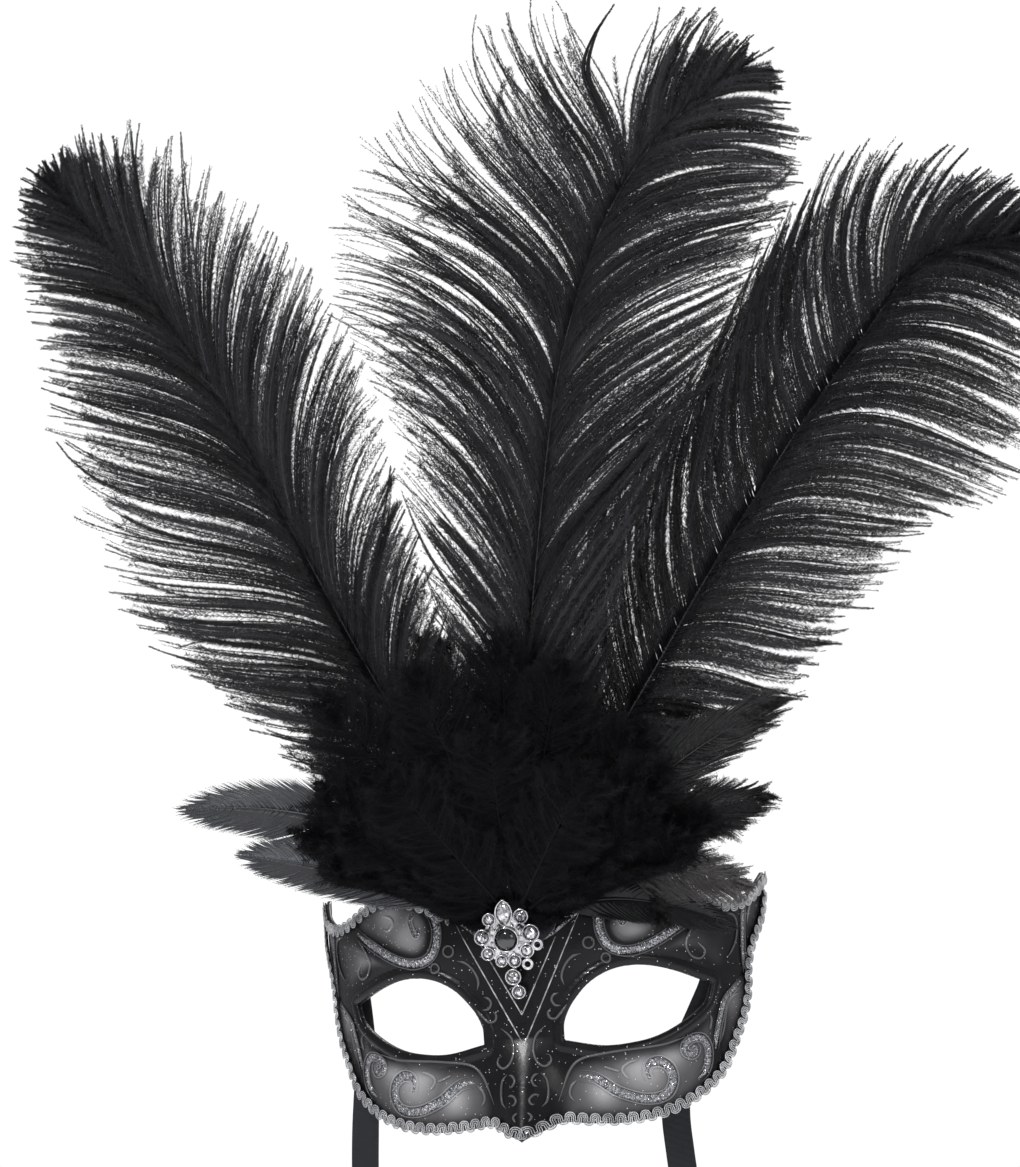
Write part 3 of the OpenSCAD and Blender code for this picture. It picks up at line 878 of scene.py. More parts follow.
RINGS = [((17.9, 38), 2.1), ((22, 31.9), 1.7)]
# Straight silver lines that meet in a point over the nose.
FOREHEAD_LINES = [[(0.0, 12.4), (9.7, 41)], [(0.0, 0.8), (16, 49.6)]]
RIDGE_WIDTH = 1.25
RIDGE_HEIGHT = 0.6
# Painted highlight: how much lighter the crest of each raised line is painted.
CREST_PAINTED_HIGHLIGHT = 0.3
# Strokes filled with glitter between two ridges: width in mm, then angles and heights.
GLITTER = [
    (3.4, [(49.5, 46.6), (46.5, 44.2), (41.3, 40.7), (36.6, 37.3), (31.6, 34.6), (26.8, 34),
           (23.1, 36.3), (21.2, 41.5), (20.9, 47), (22, 51.6), (24.4, 55.2)]),
    (3.7, [(31.5, -14.9), (30.9, -12), (31.7, -9.3), (34.5, -8.7), (37.2, -11.3), (38.1, -15.7),
           (36.7, -20.2), (33.8, -22.2), (29.7, -22.2), (25.8, -20.5), (22.1, -18), (19, -14.6),
           (16.6, -12.6), (13.4, -11.9)]),
    (2.9, [(43.6, -5.2), (44.8, -4.2), (45.6, -5.6), (44.4, -7.4), (42.2, -6.4), (41.9, -3.6),
           (44.4, -1.2), (47.6, -1.5), (49.3, -4.8), (49.2, -10), (47.9, -14.1), (45.6, -16.6)]),
    (2.3, [(64.2, 19), (60, 15.5), (56.6, 12), (54.4, 5.6), (52.9, 0), (51.8, -6)]),
    (1.6, [(27.6, 53.6), (28.9, 50.8), (28.2, 46.9), (27, 44.4), (25.9, 47.7)]),
    (2.2, [(68.5, 48.6), (66.8, 40), (66, 30), (66.6, 22)]),
]
ON_BOTH = (lambda p: p, mirrored)


def ridge_rib(path, width, height):
    """A raised line and how grey each of its points is painted, with a painted highlight along its crest."""
    points, faces = rib(path, width, height)
    tone = np.repeat(panel_tone(flat(path)), RIB_SIDES)
    # Painted highlight along the top of the rib.
    crest = np.tile(np.clip(np.sin(around(RIB_SIDES, 0.5)), 0, 1) ** 3, len(path))
    return points, faces, tone + CREST_PAINTED_HIGHLIGHT * crest


def make_scrolls(paint, glitter, silver_line):
    """Raised lines, rings and glitter strokes on both sides of the face."""
    ridges, fills, lines = [], [], []
    grain = np.random.default_rng(11)
    for points in LINES:
        for turn in ON_BOTH:
            path = turn(stroke(points))
            long = len(path)
            ridges.append(ridge_rib(path, RIDGE_WIDTH * taper(long), RIDGE_HEIGHT * taper(long, 0.4, 0.4)))
    for centre, radius in RINGS:
        for turn in ON_BOTH:
            ridges.append(ridge_rib(turn(circle_stroke(centre, radius)), 1.1, RIDGE_HEIGHT))
    for points in FOREHEAD_LINES:
        arm = even_spacing(flat(points), 0.4)
        path = unflat(np.vstack([arm[:0:-1] * np.array([-1, 1]), arm]))
        lines.append(rib(path, 0.55 * taper(len(path), 0.3, 0.3, 0.1), 0.32))
    for width, points in GLITTER:
        for turn in ON_BOTH:
            path = turn(stroke(points, 0.3))
            shape = taper(len(path), 0.35, 0.3)
            fills.append(rib(path, width * shape, 0.5 * shape, grain=grain))
            for side in (-1, 1):
                edge = turn(stroke(points, 0.4, side * (width / 2 + 0.25)))
                long = len(edge)
                ridges.append(ridge_rib(edge, 0.8 * taper(long), 0.7 * taper(long, 0.4, 0.4)))
    points, faces = joined([part[:2] for part in ridges])
    grey = np.concatenate([part[2] for part in ridges])
    add_piece("scroll_ridges", points, faces, paint, marks={"grey": grey})
    points, faces = joined(fills)
    add_piece("scroll_glitter", points, faces, glitter)
    points, faces = joined(lines)
    add_piece("forehead_lines", points, faces, silver_line)


silver_glitter = glitter_look("silver_glitter", (0.13, 0.13, 0.14), (0.62, 0.63, 0.65), 2000)
make_scrolls(paint, silver_glitter, line_look())

# ---- gimp braid ----

BRAID_WIDTH = 5.0
BRAID_PITCH = 4.8
THREAD_RADIUS = 0.25
THREAD_GAP = 0.7
LOOP_FULLNESS = 0.46
LOOP_POINTS = 22
THREAD_HEIGHT = 1.55
THREAD_DIP = 0.35
WRAP_PITCH = 0.55
TAPE_HALF_WIDTH = 1.6
TAPE_HALF_THICKNESS = 0.5
TAPE_LIFT = 0.65
TAPE_SIDES = 8
THREAD_SIDES = 6


def edge_band(edge, side):
    """The middle line of a braid along part of the outline, evenly spaced."""
    line = even_spacing(flat(edge), 0.2)
    inset = BRAID_WIDTH / 2 - 1
    return line + side * inset * left_of(headings(line))


def thread_lines(middle):
    """Three parallel threads that wind from side to side along a braid's middle line."""
    total = lengths_along(middle)[-1]
    loops = int(round(total / BRAID_PITCH))
    phase = np.linspace(0, loops * 2 * np.pi, loops * LOOP_POINTS + 1)
    swing = (BRAID_WIDTH - 2 * THREAD_GAP - 2 * THREAD_RADIUS) / 2
    along = total * phase / phase[-1] + LOOP_FULLNESS * np.sin(2 * phase)
    along = np.clip(along, 0, total)
    across = swing * np.cos(phase)
    where = lengths_along(middle)
    sideways = left_of(headings(middle))
    sideways = np.stack([np.interp(along, where, sideways[:, k]) for k in (0, 1)], -1)
    centre = at_lengths(middle, along) + across[:, None] * sideways
    offset = left_of(headings(centre))
    lines = []
    for k in (-1, 0, 1):
        surface = unflat(centre + k * THREAD_GAP * offset)
        n = outward(surface[:, 0], surface[:, 1])
        height = THREAD_HEIGHT - THREAD_DIP * (across / swing) ** 2 + 0.12 * np.cos(phase * 2 + k)
        lines.append(skin(surface[:, 0], surface[:, 1]) + height[:, None] * n)
    return np.array(lines)


def make_braid(name, edge, side, thread, tape):
    """A length of gimp braid: its threads, and the narrow tape that they are stitched to."""
    middle = edge_band(edge, side)
    lines = thread_lines(middle)
    surface = unflat(even_spacing(middle, 1.5))
    n = outward(surface[:, 0], surface[:, 1])
    facing = outward(*unflat(middle).mean(0))
    points, faces = tubes(lines, THREAD_RADIUS, sides=THREAD_SIDES, facing=facing)
    along = np.array([lengths_along(line) for line in lines])
    wrap = along[:, :, None] * 2 * np.pi / WRAP_PITCH + around(THREAD_SIDES)
    add_piece(name, points, faces, thread, nodes=[name.replace("_gimp", "_braid")],
              marks={"wrap": wrap.ravel()})
    centre = skin(surface[:, 0], surface[:, 1]) + TAPE_LIFT * n
    w = unit(np.cross(headings(centre), n))
    a = around(TAPE_SIDES, 0.5)
    across = TAPE_HALF_WIDTH * np.cos(a)[:, None] * w[:, None]
    reach = across + TAPE_HALF_THICKNESS * np.sin(a)[:, None] * n[:, None]
    band = (centre[:, None] + reach).reshape(-1, 3)
    add_piece(name + "_tape", band, rings_to_faces(1, len(centre), TAPE_SIDES), tape)


thread = thread_look()
tape = glitter_look("gimp_tape", (0.015, 0.015, 0.016), (0.1, 0.1, 0.105), 900)
lower_edge = whole_edge[4:-4, :2]
upper_edge = half_edge[3 * EDGE_STEPS:-EDGE_STEPS // 2, 2:]
make_braid("lower_gimp", lower_edge, 1, thread, tape)
make_braid("upper_right_gimp", upper_edge, -1, thread, tape)
make_braid("upper_left_gimp", upper_edge * np.array([-1, 1]), 1, thread, tape)


def make_bare_edge(glitter):
    """A line of glitter along the short bare edge between the two upper braids."""
    inner = half_edge[:3 * EDGE_STEPS + 2, 2:]
    edge = np.vstack([mirrored(inner)[:-1], inner]) + np.array([0, -0.9])
    path = unflat(even_spacing(flat(edge), 0.35))
    points, faces = rib(path, 1.7, 0.6, grain=np.random.default_rng(12))
    add_piece("top_edge_glitter", points, faces, glitter)


make_bare_edge(silver_glitter)

# ---- felt ----


def felt_disc(centre, across, up, out, size, thickness, seed):
    """A rounded disc of felt with an uneven face."""
    rng = np.random.default_rng(seed)
    rings, sides = 15, 56
    turn = around(sides)
    share = np.concatenate([np.linspace(0.04, 0.94, rings - 4), [0.98, 1.0, 1.0, 0.98]])
    height = np.concatenate([np.full(rings - 4, 1.0), [0.88, 0.6, -0.6, -0.88]])
    share = np.concatenate([share, np.linspace(0.94, 0.04, rings - 4)])
    height = np.concatenate([height, np.full(rings - 4, -1.0)])
    wobble = 1 + 0.012 * np.sin(5 * turn + seed) + rng.normal(0, 0.004, sides)
    r = share[:, None] * wobble
    lift = height[:, None] * thickness / 2 + rng.normal(0, 0.04, r.shape)
    points = centre + (size[0] / 2 * r * np.cos(turn))[..., None] * across
    points = points + (size[1] / 2 * r * np.sin(turn))[..., None] * up + lift[..., None] * out
    return points.reshape(-1, 3), rings_to_faces(1, len(share), sides)


def fuzz(points, out, count, length, seed):
    """Short loose fibres that stand on a face."""
    rng = np.random.default_rng(seed)
    root = points[rng.integers(0, len(points), count)]
    lean = unit(rng.normal(0, 1, (count, 3)) + 0.8 * out * np.sign((root - points.mean(0)) @ out)[:, None])
    tip = root + lean * length * rng.uniform(0.4, 1, (count, 1))
    middle = (root + tip) / 2 + rng.normal(0, 0.15, (count, 3))
    return tubes(np.stack([root, middle, tip], 1), 0.03)


def make_felt(name, centre, across, up, size, thickness, look, node, seed):
    """A felt pad with its loose fibres."""
    centre, across, up = (np.asarray(v, float) for v in (centre, across, up))
    out = np.cross(up, across)
    disc = felt_disc(centre, across, up, out, size, thickness, seed)
    hairs = fuzz(disc[0], out, 700, 0.9, seed)
    points, faces = joined([disc, hairs])
    piece = add_piece(name, points, faces, look, nodes=[node])


felt = felt_look()
X, Z = (1, 0, 0), (0, 0, 1)
make_felt("front_felt", (0, -2.75, 49), X, Z, (32, 24), 1.5, felt, "front_pad", 3)
make_felt("back_felt", (0, 8.25, 40), X, Z, (44, 26), 1.5, felt, "back_pad", 4)

PATCH_ANGLE = 55.0
PATCH_HEIGHT = 40.0


def make_tie_end(side, sign, look_felt, look_satin):
    """The glued end of a ribbon on the inside of the temple and the felt patch over it."""
    angle = np.array(PATCH_ANGLE)
    n = outward(angle, np.array(PATCH_HEIGHT))
    level = unit(np.array([n[0], n[1], 0]))
    flip = np.array([sign, 1, 1])
    base = skin(angle, np.array(PATCH_HEIGHT)) - WALL * n
    inward = -level * flip
    across = np.cross(inward, Z)
    patch = (base - 1.65 * n) * flip
    make_felt(f"{side}_tie_felt", patch, across, Z, (16, 16), 1.2, look_felt, f"{side}_tie_patch", 5)
    tab = (base - 0.75 * n) * flip
    path = tab + np.array(Z) * np.linspace(4, -10, 12)[:, None]
    heading = np.degrees(np.arctan2(across[1], across[0]))
    points, faces = strip(path, np.full(12, heading), RIBBON_WIDTH, 0.4, 0.0)
    add_piece(f"{side}_ribbon_end", points, faces, look_satin,
              nodes=[f"{side}_tie_tab"], marks=ribbon_marks(path))


make_tie_end("left", -1, felt, satin)
make_tie_end("right", 1, felt, satin)

# ---- feathers ----


def bezier(root, start, end, tip, count):
    """Cubic curves for arrays of roots, start and end directions and tips."""
    reach = 0.38 * np.linalg.norm(tip - root, axis=-1, keepdims=True)
    b, c = root + reach * start, tip - reach * end
    s = np.linspace(0, 1, count)[None, :, None]
    curve = (1 - s) ** 3 * root[:, None] + 3 * s * (1 - s) ** 2 * b[:, None]
    return curve + 3 * s ** 2 * (1 - s) * c[:, None] + s ** 3 * tip[:, None]


def turned(v, degrees):
    """Directions turned in the front plane; a positive angle turns +X towards +Z."""
    a = np.radians(degrees)
    x = v[:, 0] * np.cos(a) - v[:, 2] * np.sin(a)
    z = v[:, 0] * np.sin(a) + v[:, 2] * np.cos(a)
    return unit(np.stack([x, v[:, 1], z], -1))


def in_groups(count, size, rng):
    """Group number of each of count neighbours, with about so many in each group."""
    edges = np.cumsum(rng.integers(max(1, size - 1), size + 2, count))
    return np.searchsorted(edges, np.arange(count), side="right")


def gathered(lines, group, pull, rng, power=1.3):
    """Draws the barbs of each group together towards their tips."""
    middle = np.searchsorted(group, group) + np.bincount(group)[group] // 2
    s = np.linspace(0, 1, lines.shape[1])[None, :, None] ** power
    strength = pull * rng.uniform(0.6, 1.15, group.max() + 1)[group]
    return lines + (lines[middle] - lines) * s * np.clip(strength, 0, 0.95)[:, None, None]


def barbules(lines, per_barb, hair, width, rng):
    """Fine slivers on both sides of each barb, leaning towards its tip.

    hair is their length at the root and at the tip of a barb.
    """
    count, steps = lines.shape[:2]
    s = rng.uniform(0.03, 0.985, (count, per_barb))
    at = s * (steps - 1)
    i = np.minimum(at.astype(int), steps - 2)
    f = (at - i)[..., None]
    row = np.arange(count)[:, None]
    a, b = lines[row, i], lines[row, i + 1]
    base = a + (b - a) * f
    t = unit(b - a)
    side = unit(np.cross(t, FRONT + rng.normal(0, 0.4, base.shape)))
    sign = np.where(rng.random(s.shape) < 0.5, -1.0, 1.0)[..., None]
    lean = rng.uniform(0.7, 1.8, s.shape)[..., None]
    away = unit(side * sign + lean * t + rng.normal(0, 0.18, base.shape))
    reach = (hair[0] + (hair[1] - hair[0]) * s) * rng.uniform(0.45, 1.1, s.shape)
    tip = base + away * reach[..., None]
    half = unit(t * sign - side * lean) * width / 2
    points = np.stack([base - half, base + half, tip], 2).reshape(-1, 3)
    return points, [np.arange(len(points)).reshape(-1, 3)]


def barb_mesh(lines, radius, per_barb, hair, width, rng, flatness=0.45, flare=0.0):
    """Barbs as tapered tubes with their barbules; flare widens them at the shaft."""
    s = np.linspace(0, 1, lines.shape[1])
    thick = radius * (1 - 0.6 * s + flare * ramp(0.1 - s, 0, 0.1)) * ramp(1 - s, -0.02, 0.3)
    solid = tubes(lines, thick[None, :], flatness)
    fine = barbules(lines, per_barb, hair, width, rng)
    return joined([solid, fine])


# Shafts of the plumes from root to tip, and where the barbs of each side reach: the
# shaft point they leave from, then the tip's x, y and z.
LEFT_SHAFT = [
    (-5, 3.2, 33), (-8, 5, 56), (-30, 9, 104), (-56, 13, 153), (-92, 15, 228),
    (-112, 13, 268), (-130, 7, 300), (-146, -2, 322), (-158, -14, 338),
]
LEFT_OUTER = [
    (1.2, -40, 0, 72), (1.8, -80, -2, 112), (2.3, -110, -4, 140), (2.7, -132, -4, 160),
    (3.2, -153, -4, 186), (3.4, -160, -3, 220), (3.6, -169, -3, 242), (3.9, -173, -2, 264),
    (4.8, -176, -4, 297), (5.4, -178, -6, 312), (6.2, -179, -12, 327), (6.7, -176, -17, 335),
    (7.4, -170, -24, 341), (8, -162, -29, 350),
]
LEFT_INNER = [
    (1.2, -14, 0, 120), (2, -20, 2, 160), (2.6, -30, 3, 200), (3.1, -36, 4, 232),
    (3.2, -43, 3, 256), (3.5, -51, 2, 286), (3.6, -60, 2, 293), (3.8, -65, 1, 304),
    (4.1, -74, 0, 319), (4.5, -86, -2, 333), (4.8, -98, -3, 348), (5, -111, -4, 361),
    (5.3, -123, -6, 366), (5.6, -133, -9, 368), (5.9, -139, -11, 366), (6.3, -146, -14, 364),
    (6.9, -151, -21, 360), (7.4, -155, -25, 356), (8, -160, -29, 350),
]
MIDDLE_SHAFT = [
    (0, 3.2, 31), (1, 4, 56), (8, 2, 105), (13, -2, 154), (28, -8, 237),
    (39, -10, 275), (55, -12, 311), (77, -18, 338), (104, -28, 356),
]
MIDDLE_LEFT = [
    (1.2, -14, 0, 110), (2, -22, -6, 160), (2.5, -28, -10, 200), (2.9, -32, -13, 228),
    (3.1, -35, -14, 250), (3.2, -43, -16, 264), (3.3, -48, -16, 276), (3.5, -51, -17, 288),
    (3.7, -52, -18, 298), (3.9, -51, -19, 311), (4.1, -46, -20, 326), (4.3, -42, -20, 333),
    (4.7, -34, -20, 345), (5, -26, -20, 356), (5.3, -6, -21, 370), (5.5, 5, -22, 376),
    (5.7, 13, -23, 387), (6, 21, -24, 389), (6.2, 30, -25, 393), (6.3, 38, -27, 395),
    (6.44, 48, -28, 393), (6.46, 91, -29, 386), (6.8, 97, -30, 384), (7.1, 103, -32, 381),
    (7.5, 112, -34, 373), (8, 122, -36, 364),
]
MIDDLE_RIGHT = [
    (0.7, 26, 0, 94), (1.2, 32, 0, 114), (2, 54, -6, 174), (2.5, 68, -10, 214), (2.9, 80, -13, 238),
    (3.3, 92, -16, 252), (3.6, 103, -18, 267), (3.8, 109, -19, 276), (4.1, 116, -20, 288),
    (4.4, 121, -21, 299), (5.1, 127, -22, 308), (5.6, 131, -26, 314), (6.2, 134, -29, 321),
    (6.7, 135, -31, 329), (7, 132, -32, 336), (7.4, 130, -34, 345), (8, 128, -36, 357),
]
RIGHT_SHAFT = [
    (5, 3.2, 33), (9, 6, 56), (24, 12, 92), (49, 18, 128), (80, 22, 175),
    (117, 23, 226), (148, 19, 263), (172, 11, 287), (206, -4, 290),
]
RIGHT_UPPER = [
    (0.7, 2, 2, 90), (1.2, 8, 2, 112), (2, 20, 8, 166), (2.6, 37, 12, 204), (3, 52, 14, 230),
    (3.4, 73, 13, 252),
    (3.8, 94, 12, 268), (4.1, 106, 11, 285), (4.4, 113, 9, 299), (4.8, 120, 8, 310),
    (5, 127, 6, 316), (5.4, 140, 3, 326), (5.7, 150, 0, 330), (6, 161, -2, 334),
    (6.2, 171, -4, 328), (6.5, 187, -7, 326), (6.8, 197, -12, 319), (7.2, 209, -16, 311),
    (8, 220, -26, 298),
]
RIGHT_LOWER = [
    (1.2, 44, 4, 72), (2, 78, 4, 98), (2.6, 98, 4, 112), (3, 108, 4, 119), (3.3, 118, 4, 128),
    (3.5, 127, 4, 141), (3.8, 144, 4, 156), (3.9, 148, 4, 164), (4.1, 160, 3, 177),
    (4.3, 170, 2, 185), (4.5, 185, 1, 190), (4.7, 197, 0, 193), (5, 206, -3, 202),
    (5.5, 214, -9, 222), (6, 219, -14, 240), (6.6, 223, -18, 256), (7.2, 224, -23, 267),
    (8, 225, -29, 279),
]
# How the barbs of each side bow: the shaft point, then how far their start and their end
# turn away from the straight line to the tip, in degrees.
LEFT_OUTER_BOW = [
    (1.2, -8, -6), (3.2, -8, -8), (3.6, -16, -4), (4, -28, 10), (4.6, -32, 20), (5.4, -30, 14),
    (6.5, -26, 10), (8, -16, 10),
]
LEFT_INNER_BOW = [
    (1.2, 8, -12), (3, 14, -20), (3.2, 16, -32), (3.5, 16, -20), (4.5, 12, -16), (5.2, 6, -18),
    (6, 4, -8), (8, 4, -4),
]
MIDDLE_LEFT_BOW = [
    (1.2, -8, -2), (2.9, -12, 6), (3.3, -20, 34), (3.7, -28, 44), (4, -28, 18), (4.4, -34, 28),
    (4.8, -22, 10), (5.1, -10, -20), (5.5, -8, -14), (6, -8, -10), (6.44, -16, -14),
    (6.46, 18, -24), (7, 8, -16), (8, -8, 4),
]
MIDDLE_RIGHT_BOW = [
    (1.2, 8, -4), (3.3, 14, 2), (3.8, 20, -6), (4.5, 24, -16), (6, 26, -20), (7, 22, -18),
    (8, 12, -10),
]
RIGHT_UPPER_BOW = [
    (1.2, 10, -8), (3, 26, -14), (4, 34, -16), (5, 34, -24), (6, 32, -30), (7, 20, -20),
    (8, 8, -8),
]
RIGHT_LOWER_BOW = [
    (1.2, 6, 8), (3.5, 10, 10), (4.2, 16, 0), (4.6, 30, -12), (5.5, 28, -16), (6.5, 22, -16),
    (8, 14, -14),
]
PLUME_STEPS = 24
# How far right and how far forward barbs may reach, as seen from the front.
PLUME_RIGHT_LIMIT = 225.0
BARB_FRONT_LIMIT = -43.0
GROUP_SCATTER = np.array([1.8, 4.5, 1.8])
BARB_SCATTER = np.array([0.8, 1.5, 0.8])
WISP_SHARE = 0.05
WISP_TURN = 18
BARB_POINTS = 13
STRAND_BARBS = 380
STRAND_BARBULES = 400
STRAND_RADIUS = 0.36
STRAND_HAIR = (2.6, 0.8)
DOWN_BARBS = 360
DOWN_BARBULES = 420
DOWN_RADIUS = 0.24
DOWN_HAIR = (4.4, 2.0)
DOWN_BEHIND = 1.2
PLUME_SEED = 21


def quill_radius(station):
    """Radius of the CAD quill at a shaft point."""
    return QUILL_TIP_RADIUS + (QUILL_RADIUS - QUILL_TIP_RADIUS) * (1 - station / 8) ** 2


def shaft_at(shaft, station):
    """Points of a shaft at fractional numbers of its table's rows."""
    fine = smooth_curve(shaft, PLUME_STEPS)
    where = np.arange(len(fine)) / PLUME_STEPS
    return np.stack([np.interp(station, where, fine[:, k]) for k in range(3)], -1)


def barb_stations(shaft, first, count, rng):
    """Numbers of the shaft's rows where barbs leave it, from a first one to the tip."""
    fine = smooth_curve(shaft, PLUME_STEPS)
    long = lengths_along(fine)
    stations = np.arange(len(fine)) / PLUME_STEPS
    low = np.interp(first, stations, long)
    share = np.linspace(0, 1, count) + rng.uniform(-0.4, 0.4, count) / count
    return np.interp(low + (long[-1] - low) * np.clip(share, 0, 1), long, stations)


def barb_tips(centre, aim, span, group, wisp, rng):
    """Uneven tips of barbs that leave from centre towards aim; a group keeps together."""
    short = span[0] - np.abs(rng.normal(0, span[1], len(wisp))) + wisp * rng.uniform(0, 0.07, len(wisp))
    tip = centre + (aim - centre) * short[group][:, None]
    tip = tip + rng.normal(0, 1, (len(wisp), 3))[group] * GROUP_SCATTER
    tip = tip + rng.normal(0, 1, (len(group), 3)) * BARB_SCATTER
    tip[:, 0] = np.minimum(tip[:, 0], PLUME_RIGHT_LIMIT)
    tip[:, 1] = np.maximum(tip[:, 1], BARB_FRONT_LIMIT)
    return tip


def plume_barbs(shaft, reach, bow, count, strand, tuft, rng, span=(1.01, 0.045), sway=4.0):
    """Barbs of one side of a plume, from the shaft to the reach line.

    strand and tuft are (barbs in a group, pull): barbs that cling together, and the
    wider groups that leave gaps between them near the edge. span is the longest share
    of the reach and how much shorter others are; sway is how unruly they are, in degrees.
    """
    reach, bow = np.array(reach, float), np.array(bow, float)
    station = barb_stations(shaft, reach[0, 0], count, rng)
    centre = shaft_at(shaft, station)
    tangent = unit(shaft_at(shaft, station + 0.05) - shaft_at(shaft, station - 0.05))
    aim = np.stack([np.interp(station, reach[:, 0], reach[:, k]) for k in (1, 2, 3)], -1)
    group = in_groups(count, strand[0], rng)
    wisp = rng.random(group.max() + 1) < WISP_SHARE
    tip = barb_tips(centre, aim, span, group, wisp, rng)
    direct = unit(tip - centre)
    outwards = unit(direct - np.sum(direct * tangent, -1, keepdims=True) * tangent)
    r = quill_radius(station)[:, None]
    root = centre + 0.8 * r * FRONT + 0.35 * r * outwards
    turn = (rng.normal(0, sway, len(wisp)) + wisp * rng.normal(0, WISP_TURN, len(wisp)))[group]
    bow_start, bow_end = (np.interp(station, bow[:, 0], bow[:, k]) for k in (1, 2))
    start = turned(direct, bow_start + turn + rng.normal(0, 1.5, count))
    end = turned(direct, bow_end - 1.5 * turn + rng.normal(0, 3, count))
    lines = bezier(root, unit(start + 0.2 * tangent), end, tip, BARB_POINTS)
    lines = gathered(lines, group, strand[1], rng, 1.6)
    return gathered(lines, in_groups(count, tuft[0], rng), tuft[1], rng, 2.4)


PLUMES = {"left": LEFT_SHAFT, "middle": MIDDLE_SHAFT, "right": RIGHT_SHAFT}
# strand and tuft group the barbs, sway makes them unruly, and down is how far its barbs reach.
PLUME_STYLE = {"strand": (4, 0.9), "tuft": (13, 0.25), "sway": 4.0, "down": (0.9, 0.06)}
# The six sides: plume, side, reach, bow and what differs from the usual style.
PLUME_SIDES = [
    ("left", "outer", LEFT_OUTER, LEFT_OUTER_BOW, {"tuft": (13, 0.14)}),
    ("left", "inner", LEFT_INNER, LEFT_INNER_BOW, {"tuft": (14, 0.25)}),
    ("middle", "left", MIDDLE_LEFT, MIDDLE_LEFT_BOW,
     {"strand": (2, 0.8), "tuft": (9, 0.25), "sway": 7, "down": (0.78, 0.08)}),
    ("middle", "right", MIDDLE_RIGHT, MIDDLE_RIGHT_BOW, {}),
    ("right", "upper", RIGHT_UPPER, RIGHT_UPPER_BOW, {}),
    ("right", "lower", RIGHT_LOWER, RIGHT_LOWER_BOW, {"tuft": (13, 0.18)}),
]


def plume_side(side, place, reach, bow, changes, look, down_look, seed):
    """One side of a plume: barbs in strands, over down that closes the gaps further in and is painted a
    lighter grey, as light showing through it.
    """
    rng = np.random.default_rng(seed)
    shaft = PLUMES[side]
    style = {**PLUME_STYLE, **changes}
    lines = plume_barbs(shaft, reach, bow, STRAND_BARBS, style["strand"], style["tuft"], rng,
                        sway=style["sway"])
    down = plume_barbs(shaft, reach, bow, DOWN_BARBS, (2, 0.4), (7, 0.1), rng, span=style["down"])
    down[..., 1] += DOWN_BEHIND
    nodes = [f"{side}_plume_vane"]
    points, faces = barb_mesh(lines, STRAND_RADIUS, STRAND_BARBULES, STRAND_HAIR, 0.22, rng, flare=0.8)
    add_piece(f"{side}_plume_{place}_barbs", points, faces, look, nodes=nodes)
    points, faces = barb_mesh(down, DOWN_RADIUS, DOWN_BARBULES, DOWN_HAIR, 0.2, rng, flare=0.8)
    add_piece(f"{side}_plume_{place}_down", points, faces, down_look, nodes=nodes)


plume_black = barb_look("plume_barbs", (0.003, 0.003, 0.0037), 0.38, 0.03, 0.36)
# Painted light: the down is a lighter grey than the black barbs of the same plumes, for the light that shows
# through its fine fibres.
plume_down_painted_light = barb_look("plume_down", (0.019, 0.019, 0.021), 0.5, 0.12, 0.3)
for k, plume in enumerate(PLUME_SIDES):
    plume_side(*plume, plume_black, plume_down_painted_light, PLUME_SEED + k)

# A thick curled strand that stands up beside the middle plume's tip.
CURLED_STRAND = [(63, -15, 326), (59, -19, 345), (53, -22, 364), (57, -23, 378), (66, -24, 390)]


def make_curled_strand(look):
    """The curled strand: a loose bundle of barbs, thickest halfway up."""
    rng = np.random.default_rng(31)
    path = smooth_curve(CURLED_STRAND, 8)
    s = np.linspace(0, 1, len(path))
    spread = rng.uniform(-1, 1, (14, 1, 3)) * np.array([1.5, 1.2, 0.6])
    lines = path[None] + spread * (0.15 + bump(s - 0.55, 0.3) * (1 - s) * 2)[None, :, None]
    points, faces = barb_mesh(lines, 0.5, 120, (1.8, 0.7), 0.22, rng)
    add_piece("middle_plume_curled_strand", points, faces, look)


make_curled_strand(plume_black)

FLUFF_WIDTH = 0.16
# Short feathers: angle from straight up, length, y of root, y of tip, half width.
RUFF = [
    (-64, 80, -3.9, -8, 15), (2, 98, -3.9, -12, 18), (67, 76, -3.9, -8, 15),
    (-36, 104, -4.9, -16, 17), (38, 82, -4.9, -15, 17),
    (-52, 80, -5.9, -19, 15), (16, 92, -5.9, -19, 16), (72, 66, -5.9, -16, 13),
    (-16, 92, -6.9, -24, 16), (50, 74, -6.9, -23, 15), (-69, 64, -6.9, -19, 13),
    (-56, 62, -7.9, -27, 14), (0, 64, -7.9, -31, 16), (58, 62, -7.9, -27, 14),
    (-34, 60, -8.9, -36, 15), (34, 58, -8.9, -36, 15),
    (-44, 108, 12.5, 33, 17), (10, 104, 12.5, 34, 19), (64, 80, 12.5, 31, 15),
    (-18, 110, 13.6, 40, 18), (40, 94, 13.6, 40, 17),
]
RUFF_CENTRE = 48.0
RUFF_ROOT_RADIUS = 8.0
RUFF_ARCH = 0.12
RUFF_FULLNESS = 1.2
RUFF_LOW_SIDE = 0.45
# Line over the brow that the ruff's lowest barbs reach down to: x and z.
RUFF_REST = np.array([
    (-74, 64), (-55, 64), (-38, 58.5), (-27, 51), (-19, 45), (-12, 42), (-2, 42), (10, 42),
    (19, 46), (27, 51.5), (38, 57.5), (48, 61), (61, 62), (90, 66),
], float)
